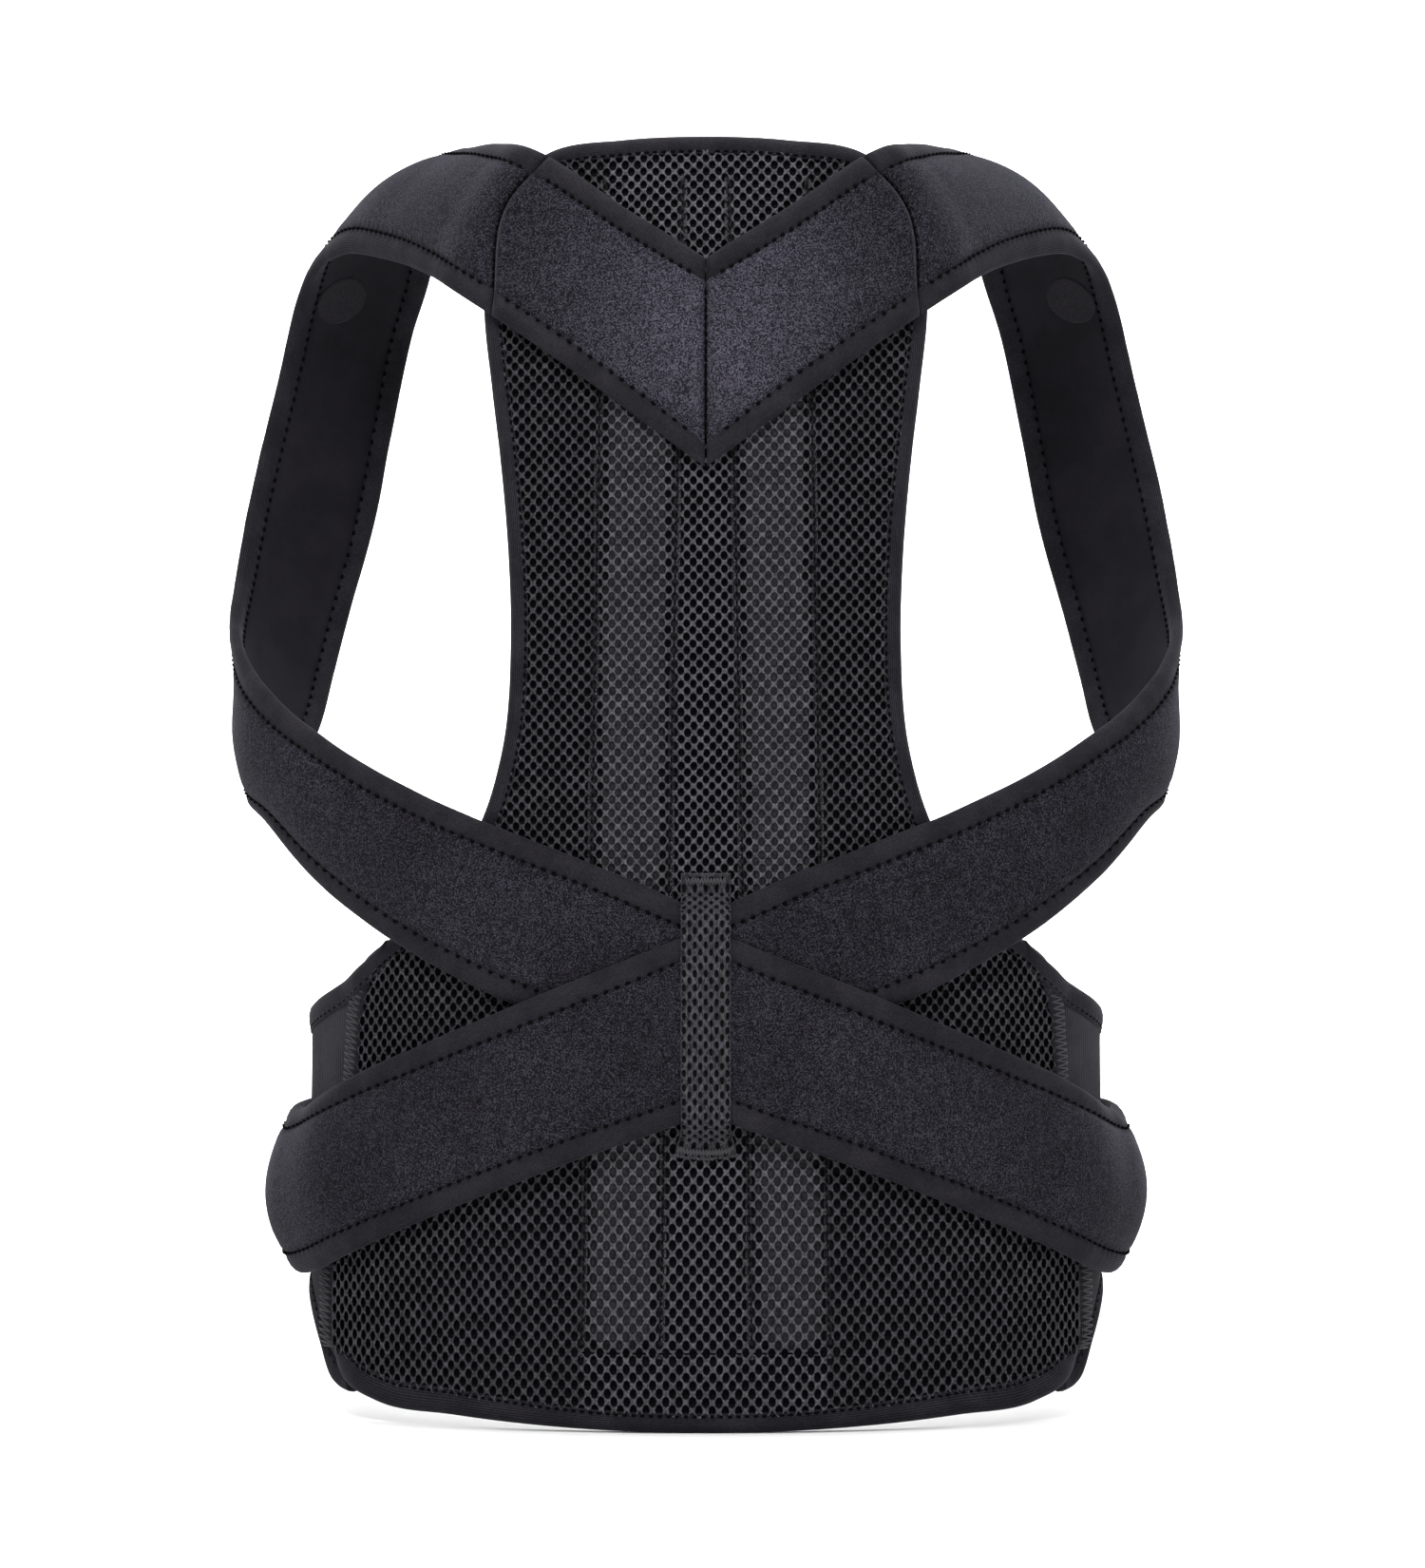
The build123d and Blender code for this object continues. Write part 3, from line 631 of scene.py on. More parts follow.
def panel_nets():
    """The panel's air mesh in five fields, between the seams of the stay channels."""
    pitch = np.array(PANEL_NET_PITCH)
    columns, rows = int(2 * PANEL_NET_REACH / pitch[0]), int(2 * NET_ROWS[-1] / pitch[1])
    cells = diamond_cells(columns, np.arange(rows))
    x, z = net_to_panel(*(cells * pitch / 2).T)
    edge, _, width, hip = (fact[::2] for fact in edge_facts())
    apart = np.sqrt(((np.stack([x, z], -1)[:, None] - edge) ** 2).sum(-1))
    margin = (width - 2.2 + hip)[apart.argmin(1)]
    kept = (abs(x) < half_width(z, 0)) & (apart.min(1) > margin)
    cells, x, z = cells[kept], x[kept], z[kept]
    share = channel_share(x, z)
    shallow = share > 0.42
    floor = np.minimum(2.6 - 1.7 * smoothstep(0.3, 0.62, share), panel_lift(x, z) - FOAM_TOP)
    across = abs(x) - channel_x(z)
    inside = abs(across) < CHANNEL_HALF_WIDTH
    fields = {
        "mesh_field_left": (x < 0) & (across >= CHANNEL_HALF_WIDTH),
        "stay_channel_face_left": (x < 0) & inside,
        "mesh_field_middle": across <= -CHANNEL_HALF_WIDTH,
        "stay_channel_face_right": (x >= 0) & inside,
        "mesh_field_right": (x >= 0) & (across >= CHANNEL_HALF_WIDTH),
    }
    for name, chosen in fields.items():
        channel = name.startswith("stay")
        # Painted light on the middle field and the channels, painted shade on the side fields.
        strands = MIDDLE_LIT_STRANDS if channel or name.endswith("middle") else STRANDS
        piece = net(
            name, cells[chosen], pitch, PANEL_NET_HOLE, panel_net_place, floor[chosen],
            [strands, SHADED_FLANKS, DEPTH], shallow[chosen],
        )
        declare(piece, "air_mesh", name.replace("_face", "") if channel else "back_mesh")


# Across a seam's strip of pulled yarn, and height above the panel's face.
SEAM_RING = [(-1.0, 0.1), (-0.5, 0.42), (0.5, 0.42), (1.0, 0.1), (0.5, -0.3), (-0.5, -0.3)]


def channel_seams():
    """Stitches and pulled yarn down the seams of the stay channels, and stitches under them."""
    outer, inner, strips = [], [], {}
    z = np.arange(34, 488, 1.0)
    up = facing(BACKWARDS, len(z))
    across, rise = np.array(SEAM_RING).T
    for name, side in SIDES.items():
        for part, edge in (("inner", -CHANNEL_HALF_WIDTH), ("outer", CHANNEL_HALF_WIDTH)):
            x = -side * (channel_x(z) + edge)
            outer.append(dashes_on(on_panel(x, z, panel_lift(x, z) + 0.35), up, *CHANNEL_STITCH))
            inner.append(dashes_on(on_panel(x, z, 0.75), -up, *CHANNEL_STITCH))
            x = x + 0.25 * wobble(z, 0 * z, 17, 7)
            rings = on_panel(x[:, None] + across, z[:, None], panel_lift(x, z)[:, None] + rise)
            strips[f"channel_seam_{part}_{name}"] = rings
    x = np.arange(-50, 50, 1.0)
    line = on_panel(x, BOTTOM_SEAM_Z, panel_lift(x, BOTTOM_SEAM_Z) + 0.4)
    outer.append(dashes_on(line, facing(BACKWARDS, len(x)), *CHANNEL_STITCH))
    declare(stitches("lining_seam_thread", inner, OVERLOCK_THREAD, FINE_THREAD), "tack_thread")
    declare(stitches("channel_seam_thread", outer, DARK_THREAD_AND_SHADE, FINE_THREAD), "tack_thread")
    for name, rings in strips.items():
        declare(skin(name, rings, [SEAM], lengths=z), "air_mesh")


# Share of the binding's width from the edge inwards, and height above the torso.
TAPE_RING = [
    (1.0, 8.3), (0.97, 9.3), (0.86, 9.5), (0.68, 10.1), (0.45, 10.3), (0.22, 9.7), (0.07, 8.1),
    (0.0, 6.2), (0.0, 4.0), (0.06, 2.0), (0.18, 0.7), (0.4, 0.1), (0.7, 0.0), (0.97, 0.2), (1.0, 1.2),
]
HIP_RING = [
    (1.0, 6.6), (0.95, 7.0), (0.82, 7.0), (0.66, 7.5), (0.45, 7.0), (0.22, 6.1), (0.07, 5.2),
    (0.0, 4.6), (0.0, 3.4), (0.06, 2.0), (0.18, 0.7), (0.4, 0.1), (0.7, 0.0), (0.97, 0.2), (1.0, 1.2),
]


def edge_facts():
    """The panel's edge, the width of its binding and how much of it is the plain hip seam."""
    points, inwards = outline()
    x, z = points.T
    hip = smoothstep(20, 32, z) * (1 - smoothstep(172, 184, z)) * smoothstep(122, 132, abs(x))
    hem = 1 - smoothstep(12, 30, z)
    width = 7.0 + hem * (0.6 + 3.4 * smoothstep(20, 130, abs(x)))
    seam = 2.5 + 5.5 * smoothstep(60, 115, z)
    return points, inwards, width * (1 - hip) + seam * hip, hip


def binding_rings(hip):
    """The binding's section all round the panel."""
    hip = hip[:, None, None]
    return np.array(TAPE_RING) * (1 - hip) + np.array(HIP_RING) * hip


def panel_binding():
    """Tape folded over the panel's edge, which turns into a flat seam where the elastic starts."""
    points, inwards, width, hip = edge_facts()
    ring = binding_rings(hip)
    lengths = along(points)
    ring[:, 2, 1] -= 0.5 * puckers(lengths)
    ring[:, :, 1] += 0.2 * wobble(lengths, 0 * lengths, 60, 11)[:, None]
    flat = points[:, None] + inwards[:, None] * (ring[:, :, 0] * width[:, None])[:, :, None]
    rings = on_panel(flat[:, :, 0], flat[:, :, 1], ring[:, :, 1])
    piece = skin("panel_edge_tape", rings, [TAPE], lengths=lengths, closed=True)
    sides = [f"panel_{place}_binding_{side}" for place in ("side", "hip") for side in SIDES]
    declare(piece, "binding_tape", "panel_top_binding", "panel_hem_binding", *sides)


def panel_edge_thread():
    """Running stitches along the binding, on both faces, and the overlock seam at the hips."""
    points, inwards, width, hip = edge_facts()
    up = unit(on_panel(points[:, 0], points[:, 1], 10) - on_panel(points[:, 0], points[:, 1], 4))
    flat = points + inwards * (0.86 * width)[:, None]
    outer = on_panel(*flat.T, binding_rings(hip)[:, 2, 1] + 0.15)
    inner = on_panel(*flat.T, 0.0)
    dashes = [dashes_on(outer, up, 3.4, 0.6), dashes_on(inner, -up, STITCH_PITCH, 0.55)]
    declare(stitches("panel_edge_thread", dashes, DARK_THREAD_AND_SHADE, MEDIUM_THREAD), "tack_thread")
    for name, side in SIDES.items():
        at_hip = np.flatnonzero((hip > 0.6) & (points[:, 0] * side < 0))
        lines = []
        for outwards in (3.2, 8.4):
            inset = width[at_hip] - outwards
            flat = points[at_hip] + inwards[at_hip] * inset[:, None]
            lift = np.interp(inset / width[at_hip], (0, 0.45, 0.9), (5.0, 7.4, 8.0))
            lines.append(on_panel(*flat.T, lift))
        dashes = [zigzag(*lines, up[at_hip], 1.3)]
        declare(stitches(f"hip_overlock_{name}", dashes, OVERLOCK_THREAD, FINE_THREAD), "tack_thread")


def panel_lining():
    """Cloth on the wearer's side, drawn in along the seams of the stay channels."""
    inset = 5.6
    points, _ = outline(inset, 2.5)
    lengths = np.sort(points[(points[:, 0] < -1)][:, 1])
    lengths = lengths[np.concatenate([[True], np.diff(lengths) > 0.05])]
    z = lengths[:, None]
    wide = half_width(z, inset)
    x = wide * np.linspace(-1, 1, 81)
    gap = seam_distance(x, z)
    drawn = 0.7 * np.exp(-((gap / 1.6) ** 2)) * seam_extent(z)
    puff = 0.5 * np.exp(-gap / 5) + 0.15 * wobble(x, z, 45, 8)
    inner = on_panel(x, z, np.clip(0.15 + puff * 0.6 + drawn, 0.0, 1.0))
    outer = on_panel(x[:, ::-1], z, 1.6 + drawn[:, ::-1])
    piece = shell("panel_lining_cloth", inner, outer, [LINING], lengths)
    declare(piece, "lining_cloth", "back_lining")


# ---------------------------------------------------------------- straps

def behind(x1, z1, lift1, x2, z2, lift2, bulge):
    """A strap station whose two edges lie on the back."""
    return (*on_back(x1, z1, lift1), *on_back(x2, z2, lift2), bulge)


# Stations along each strap: its outer or lower edge, its inner or upper edge, both as x, y and z,
# and how far its middle bulges.
STRAP = [
    behind(0, 374, 14.4, 0, 455, 14.4, 0),
    behind(-26, 393, 14.6, -9, 461, 14.6, 0),
    behind(-52, 412, 15, -31, 475, 15, 0),
    behind(-83.5, 434, 15.5, -61, 496, 15.5, 0),
    (-97, -95, 443.5, -69, -96.5, 500, 3),
    (-108, -74, 451.5, -76, -78, 502.5, 6),
    (-129, -37, 461.5, -88, -40, 504.5, 9),
    (-147.5, -5, 465.5, -99, 0, 503, 10.5),
    (-160, 20, 461, -107, 32, 487, 9),
    (-168.5, 42, 448, -114, 59, 461.5, 6),
    (-174.5, 54, 427, -122.5, 76, 438, 4),
    (-182, 55, 396, -131.5, 86, 398, 3),
    (-188.5, 50, 366, -139.5, 86, 358, 3),
    (-192, 36, 338, -149, 78, 322, 4),
    (-192.5, 18, 322, -155, 66, 296, 6),
    (-190.5, 0, 313, -160, 47, 273, 8),
    (-186, -17, 304.5, -168, 29, 258.5, 9.5),
    (-178.5, -35, 294.5, -177, 10, 249, 10),
    (-166, -53, 282, -181, -10, 244, 9),
    (-147.5, -71, 268.5, -174, -34, 237, 7.5),
    (-122, -87, 253.5, -155, -59, 215.5, 6),
    (-95, -98, 241, -127, -81, 193.5, 4),
    behind(-66, 229.5, 13.2, -92, 174, 13.6, 2),
    behind(-35, 217.5, 12.9, -60, 160.5, 12.9, 0.5),
    behind(-17, 209.5, 12.9, -30, 147.5, 12.9, 0.2),
    behind(0, 202, 12.8, 0, 134, 12.8, 0),
]
YOKE_END = 3
DISC_STATION, DISC_SHARE, DISC_FORWARD = 9, 0.36, 4.0
# Radius and depth below the strap's middle, across the disc's face and round its edge.
DISC_RINGS = [
    (1.5, 3.1), (6, 3.05), (9.3, 2.95), (10.7, 2.8), (11.6, 2.4), (11.0, 1.4), (1.5, 1.4),
]
WAIST = [
    behind(0, 124.5, 18.4, 0, 196.5, 18.4, 0),
    behind(-8.5, 121.2, 18.4, -20, 188.5, 18.4, 0),
    behind(-17, 118, 18.3, -40, 180.5, 18.3, 0),
    behind(-51, 106, 17.6, -76, 165.5, 18.3, 0.5),
    behind(-86, 92, 15, -110, 150.5, 15.4, 2),
    behind(-117, 78.5, 14, -137, 138, 14, 4),
    behind(-141, 66.5, 14, -151, 129, 11.5, 8),
    behind(-154.5, 58.5, 9.4, -157.5, 123.5, 7.6, 11),
    (-161.5, -17.25, 56.0, -161.5, -17.25, 121.5, 12.5),
]
# Front end of the waist strap: angle round the torso, height of its lower edge, and bulge.
STRAP_END_LIFT = 7.5
STRAP_END_WIDTH = 65.5
STRAP_END = [
    (-1, 57, 11), (14, 58.5, 8), (30, 60.5, 5), (46, 63, 2.5), (60, 65.5, 1), (70, 67.5, 0.2),
    (77.6, 69, 0),
]
STITCH_PITCH, STITCH_INSET = 4.5, 8.7
STRAP_WIDTH = 65
YOKE_SEAM_BOW = 10.0
SEAM_GAP = 0.35
STATION_STEPS = 24
STRAP_SPACING = 1.15

# Distance from the strap's edge and height above its middle, round the folded tape.
TAPE_FOLD = [
    (8.8, 1.3), (8.5, 2.05), (7.3, 2.2), (6.0, 2.6), (3.8, 2.75), (1.9, 2.35), (0.65, 1.5),
    (0.05, 0.5), (0.05, -0.5), (0.65, -1.5), (1.9, -2.2), (3.8, -2.5), (6.0, -2.4), (7.3, -2.0),
    (8.5, -1.95), (8.8, -1.2),
]
# The same for the padded body beside the tape, and how deep each stitch hole pulls it in.
BODY_EDGE = [(7.6, 0.9, 0.2), (8.6, 1.45, 0.6), (9.6, 2.05, 0.4), (11.2, 2.45, 0.05), (13.5, 2.65, 0.0)]
BODY_COLUMNS, BODY_HEIGHT = 13, 2.75


class Band:
    """The middle surface of a strap, from rows of its two edges and its bulge."""

    def __init__(self, stations, side):
        rows = curve_through(stations, STATION_STEPS)
        rows[:, [0, 3]] *= side
        lengths = along((rows[:, :3] + rows[:, 3:6]) / 2)
        self.station_lengths = lengths[::STATION_STEPS]
        self.lengths = np.linspace(0, lengths[-1], round(lengths[-1] / STRAP_SPACING) + 1)
        rows = at_lengths(lengths, rows, self.lengths)
        first, second = rows[:, :3], rows[:, 3:6]
        travel = np.gradient((first + second) / 2, axis=0)
        for end in (0, -1):
            if abs(first[end, 0]) < 1e-6:
                travel[end] *= (1, 0, 0)
        across = unit(second - first)
        outwards = unit(np.cross(across, travel)) * side
        self.rows = np.hstack([first, second, rows[:, 6:], outwards])

    def at(self, lengths, share, offset, height):
        """Points at a share of the width plus an offset, and at a height above the middle."""
        lengths, share, offset, height = np.broadcast_arrays(lengths, share, offset, height)
        rows = at_lengths(self.lengths, self.rows, lengths)
        first, second, bulge, outwards = rows[..., :3], rows[..., 3:6], rows[..., 6], rows[..., 7:]
        gap, outwards = second - first, unit(outwards)
        width = np.linalg.norm(gap, axis=-1)
        part = share + offset / width
        bow = 4 * bulge * part * (1 - part)
        tilt = 4 * bulge * (1 - 2 * part) / width
        normal = unit(outwards - unit(gap) * tilt[..., None])
        middle = first + gap * part[..., None] + outwards * bow[..., None]
        return middle + normal * height[..., None]

    def rings(self, start, stop, share, offset):
        """Lengths from start to stop for columns at the given shares of the width plus offsets."""
        count = max(2, round((stop - start) / STRAP_SPACING))
        share = share + offset / STRAP_WIDTH
        first, last = (length + self.seam_bow(length, share) for length in (start, stop))
        part = np.linspace(0, 1, count + 1)[:, None]
        return first + (last - first) * part

    def seam_bow(self, length, share):
        """How far the shoulder seam bows away from a straight line across the strap."""
        if len(self.station_lengths) <= YOKE_END or abs(length - self.station_lengths[YOKE_END]) > 2:
            return 0.0 * share
        return YOKE_SEAM_BOW * np.sin(math.pi * np.clip(share, 0, 1) ** 1.35)


def seam_pull(lengths, seams):
    """How far a strap's faces stay apart: less beside the seams at its ends."""
    pull = np.ones_like(lengths)
    for sewn, end in zip(seams, (lengths[0], lengths[-1])):
        if sewn:
            pull -= 0.85 * np.exp(-(((lengths - end) / 1.6) ** 2))
    return pull


def puckers(lengths):
    """1 at each stitch hole and 0 between them."""
    return 0.5 + 0.5 * np.cos(lengths * 2 * math.pi / STITCH_PITCH)


def strap_body(name, band, start, stop, seams, seed):
    """Foam-backed loop cloth between the two tapes, with a smooth lining on its inner face."""
    inset, rise, hole = np.array(BODY_EDGE).T
    share = np.concatenate([0 * inset, np.linspace(0.26, 0.74, BODY_COLUMNS), 0 * inset + 1])
    flat = np.zeros(BODY_COLUMNS)
    crown = BODY_HEIGHT + 0.25 * np.sin(np.linspace(0, math.pi, BODY_COLUMNS))
    offset = np.concatenate([inset, flat, -inset[::-1]])
    height = np.concatenate([rise, crown, rise[::-1]])
    holes = np.concatenate([hole, flat, hole[::-1]])
    lengths = band.rings(start, stop, share, offset)
    across, plain_cloth = share * STRAP_WIDTH, holes == 0
    outer = height - holes * puckers(lengths) + 0.28 * wobble(lengths, across, 48, seed) * plain_cloth
    inner = -0.82 * height + 0.15 * wobble(lengths, across, 60, seed + 1) * plain_cloth
    pull = seam_pull(lengths, seams)
    heights = np.hstack([outer * pull, (inner * pull)[:, ::-1]])
    lengths = np.hstack([lengths, lengths[:, ::-1]])
    share, offset = (np.concatenate([value, value[::-1]]) for value in (share, offset))
    rings = band.at(lengths, share, offset, heights)
    slots = [0] * (len(share) // 2 - 1) + [1] * (len(share) // 2 + 1)
    return skin(name, rings, [FLEECE, LINING], slots, lengths[:, 0])


def strap_tape(name, band, start, stop, far, seams, seed):
    """Tape folded over one edge of a strap, pulled in at each stitch."""
    inset, rise = np.array(TAPE_FOLD).T
    share, inwards = (1.0, -inset) if far else (0.0, inset)
    lengths = band.rings(start, stop, np.full(len(inset), share), inwards)
    dips = np.zeros(len(inset))
    dips[[1, 2, 13, 14]] = (-0.5, -0.3, 0.3, 0.3)
    heights = rise + dips * puckers(lengths) + 0.1 * wobble(lengths, inset, 30, seed)
    offset = inwards + 0.18 * wobble(lengths, 0, 55, seed + 1)
    rings = band.at(lengths, share, offset, heights * seam_pull(lengths, seams))
    return skin(name, rings, [TAPE], lengths=lengths[:, 0])


def strap_thread(name, band, start, stop):
    """Running stitches along both tapes, on both faces."""
    dashes = []
    first, last = start + 1, stop - 1
    lengths = np.arange(first, last, 0.5)
    places = np.arange(math.ceil(start / STITCH_PITCH) + 0.75, stop / STITCH_PITCH - 1) * STITCH_PITCH
    for share, offset in ((0.0, STITCH_INSET), (1.0, -STITCH_INSET)):
        for height in (2.1, -2.0):
            line = band.at(lengths, share, offset, height)
            up = unit(band.at(lengths, share, offset, height * 2) - line)
            begin = (places - first) * along(line)[-1] / (last - first)
            dashes.append(dashes_at(line, up, begin, STITCH_PITCH * 0.45))
    return stitches(name, dashes, DARK_THREAD_AND_SHADE, HEAVY_THREAD)


def strap_pieces(prefix, nodes, band, start, stop, seams, seed):
    """Body, two tapes and thread of one stretch of strap, standing for its three CAD nodes."""
    body = strap_body(f"{prefix}_cloth", band, start, stop, seams, seed)
    low = strap_tape(f"{prefix}_first_tape", band, start, stop, False, seams, seed + 2)
    high = strap_tape(f"{prefix}_second_tape", band, start, stop, True, seams, seed + 4)
    thread = strap_thread(f"{prefix}_thread", band, start, stop)
    slots = ("loop_fleece", "binding_tape", "binding_tape")
    for piece, node, slot in zip((body, low, high), nodes, slots):
        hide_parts(node)
    return body, low, high, thread


def strap_disc(band, side_name):
    """A flat pad that shows as a low round rise in the lining at the front of the shoulder."""
    turns = np.arange(48) * 2 * math.pi / 48
    middle = band.station_lengths[DISC_STATION] + DISC_FORWARD
    here = band.at(middle, DISC_SHARE, 0, 0)
    ahead = band.at(middle + 1, DISC_SHARE, 0, 0) - here
    aside = band.at(middle, DISC_SHARE, 1, 0) - here
    skew = ahead @ aside / (ahead @ ahead)
    rise = unit(aside - ahead * skew) @ aside
    rings = []
    for radius, height in DISC_RINGS:
        offset = radius * np.sin(turns) / rise
        lengths = middle + radius * np.cos(turns) / np.linalg.norm(ahead) - offset * skew
        rings.append(band.at(lengths, DISC_SHARE, offset, -height))
    piece = skin(f"strap_disc_pad_{side_name}", np.array(rings), [DISC_CLOTH])
    declare(piece, "strap_pad", f"strap_disc_{side_name}")


def seam_thread(name, band, length, body="root", height=1.0):
    """A line of stitches across a strap, down in the seam."""
    share = np.linspace(0.13, 0.87, 60)
    length = length + band.seam_bow(length, share)
    line = band.at(length, share, 0, height)
    up = unit(band.at(length, share, 0, height + 3) - line)
    piece = stitches(name, [dashes_on(line, up, 3.2, 0.85)], DARK_THREAD_AND_SHADE, MEDIUM_THREAD)
    declare(piece, "tack_thread", body=body)


def straps():
    """Yoke, shoulder straps and their discs on both sides."""
    for number, (name, side) in enumerate(SIDES.items()):
        band = Band(STRAP, side)
        seam = band.station_lengths[YOKE_END]
        end = band.station_lengths[-1]
        seed = 100 + 40 * number
        nodes = [f"yoke_{name}", f"yoke_lower_tape_{name}", f"yoke_upper_tape_{name}"]
        pieces = strap_pieces(f"yoke_{name}", nodes, band, SEAM_GAP, seam - SEAM_GAP, (1, 1), seed)
        nodes = [f"shoulder_{part}_{name}" for part in ("strap", "outer_tape", "inner_tape")]
        ends = seam + SEAM_GAP, end - SEAM_GAP
        pieces += strap_pieces(f"shoulder_{name}", nodes, band, *ends, (1, 1), seed + 10)
        for piece in pieces:
            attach(piece, "root")
        strap_disc(band, name)
        seam_thread(f"yoke_seam_thread_{name}", band, seam)
        if side > 0:
            seam_thread("yoke_middle_thread", band, 0.0)


def waist_straps():
    """Waist straps: one stretch to the hip, and the end that peels off."""
    for number, (name, side) in enumerate(SIDES.items()):
        ends = []
        for angle, low, bulge in STRAP_END:
            turn = math.radians(angle)
            x = -(TORSO_HALF_WIDTH + STRAP_END_LIFT) * math.cos(turn)
            y = (TORSO_FRONT_DEPTH + LAP[name] + STRAP_END_LIFT) * math.sin(turn)
            ends.append((x, y, low, x, y, low + STRAP_END_WIDTH, bulge))
        band = Band(WAIST + ends, side)
        hip = band.station_lengths[len(WAIST)]
        end = band.station_lengths[-1]
        seed = 300 + 40 * number
        nodes = [f"waist_{part}_{name}" for part in ("strap", "lower_tape", "upper_tape")]
        wing, strap_end = f"{name}_wing", f"{name}_strap_end"
        for piece in strap_pieces(f"waist_{name}", nodes, band, SEAM_GAP, hip, (1, 0), seed):
            bend(piece)
        nodes = [f"strap_end_{name}", f"strap_end_lower_tape_{name}", f"strap_end_upper_tape_{name}"]
        for piece in strap_pieces(f"strap_end_{name}", nodes, band, hip, end, (0, 1), seed + 10):
            bend(piece)
        for part, back in (("first", 3.2), ("second", 6.4)):
            seam_thread(f"strap_end_{part}_stitch_{name}", band, end - back, strap_end, 2.9)


# ---------------------------------------------------------------- belt

RIB_PITCH = 1.7
# Distance from the belt's edge and height above the torso, round its folded edge tape.
BELT_FOLD = [
    (10.3, 2.9), (10.0, 3.9), (8.6, 3.9), (6.4, 4.5), (3.4, 4.6), (1.3, 4.1), (0.25, 3.1),
    (0.0, 2.3), (0.25, 1.4), (1.3, 0.6), (3.4, 0.2), (8.6, 0.2), (10.0, 0.3), (10.3, 1.2),
]


# The elastic starts under the panel, at an angle round the torso.
BELT_START = -28.0
# Each edge tape: its edge, the way from the edge into the belt, and the angle where it starts.
BELT_TAPES = [("belt_top", BELT_TOP_EDGE, -1, -40.0), ("belt_bottom", BELT_BOTTOM_EDGE, 1, BELT_START)]
# The height and lift at which distances round the belt are measured.
BELT_MIDDLE = (100, 3.0)


def edge_height(edge, y):
    """Height of the belt's top or bottom edge."""
    line = curve_through(edge, 16)
    return np.interp(y, line[:, 0], line[:, 1])


def on_belt(angle, z, lift, name):
    """Points round the waist: 0 degrees is the side and 90 the middle of the front."""
    angle, z, lift = np.broadcast_arrays(np.radians(angle), z, lift)
    depth = np.where(angle < 0, back_depth(z), TORSO_FRONT_DEPTH + LAP[name])
    x = -(TORSO_HALF_WIDTH + lift) * np.cos(angle) * SIDES[name]
    return np.stack([x, (depth + lift) * np.sin(angle), z], -1)


def from_ends(values):
    """Distance of each value from the nearer end of its row."""
    return np.minimum(values - values[0], values[-1] - values)


def even_angles(first, last, spacing, name):
    """Angles that are evenly spaced along the belt, and the lengths there."""
    angles = np.linspace(first, last, 600)
    lengths = along(on_belt(angles, *BELT_MIDDLE, name))
    count = round(lengths[-1] / spacing)
    places = np.linspace(0, lengths[-1], count + 1)
    return np.interp(places, lengths, angles), places


def belt_grid(name, first, last, spacing, rows):
    """Even angles round the waist, the lengths there, and heights from edge tape to edge tape."""
    angles, lengths = even_angles(first, last, spacing, name)
    y = on_belt(angles, *BELT_MIDDLE, name)[:, 1]
    top, bottom = edge_height(BELT_TOP_EDGE, y) - 8, edge_height(BELT_BOTTOM_EDGE, y) + 8
    return angles[:, None], lengths, bottom[:, None] + (top - bottom)[:, None] * np.linspace(0, 1, rows)


def belt_elastic(name, first, last):
    """Ribbed elastic from the panel to the front."""
    angles, lengths, z = belt_grid(name, first, last, 0.42, 26)
    ribs = 0.13 * np.cos(lengths * 2 * math.pi / RIB_PITCH)[:, None]
    slack = 0.35 * wobble(lengths[:, None], z, 60, 21)
    outer = on_belt(angles, z, 3.3 + ribs + slack, name)
    inner = on_belt(angles, z[:, ::-1], 1.0 - ribs + slack[:, ::-1], name)
    return shell(f"belt_elastic_{name}", outer, inner, [ELASTIC], lengths)


def front_panel(name, first, last):
    """Loop-faced front of the belt, padded and lined."""
    rows = 40
    angles, lengths, z = belt_grid(name, first, last, 1.6, rows)
    round_off = 1 - 0.7 * np.exp(-((from_ends(lengths) / 1.6) ** 2))[:, None]
    slack = 0.2 * wobble(lengths[:, None], z, 50, 31)
    outer = on_belt(angles, z, 2.2 + (1.5 + slack) * round_off, name)
    inner = on_belt(angles, z[:, ::-1], 2.2 - 1.3 * round_off, name)
    slots = [0] * (rows - 1) + [1] * (rows + 1)
    piece = shell(f"front_panel_cloth_{name}", outer, inner, [FLEECE, LINING], lengths, slots)
    return piece


def belt_tape(part, name, first, last, edge, sign):
    """Tape folded over the belt's top or bottom edge."""
    inset, rise = np.array(BELT_FOLD).T
    angles, lengths = even_angles(first, last, 1.2, name)
    middle = on_belt(angles, *BELT_MIDDLE, name)
    height = edge_height(edge, middle[:, 1])
    over_panel = 5.4 * (1 - smoothstep(-62, -42, middle[:, 1]))
    lift = rise + over_panel[:, None] * (rise > 2.5) + 0.15 * wobble(lengths, 0, 40, 41)[:, None]
    lift[:, 2] -= 0.4 * puckers(lengths)
    rings = on_belt(angles[:, None], height[:, None] + sign * inset, lift, name)
    piece = skin(f"{part}_tape_{name}", rings, [TAPE], lengths=lengths)
    line = on_belt(angles, height + sign * 8.6, 3.75 + over_panel, name)
    dashes = dashes_on(line, unit(on_belt(angles, 100, 6.0, name) - middle), STITCH_PITCH, 0.5)
    return piece, stitches(f"{part}_thread_{name}", [dashes], DARK_THREAD_AND_SHADE, FINE_THREAD)


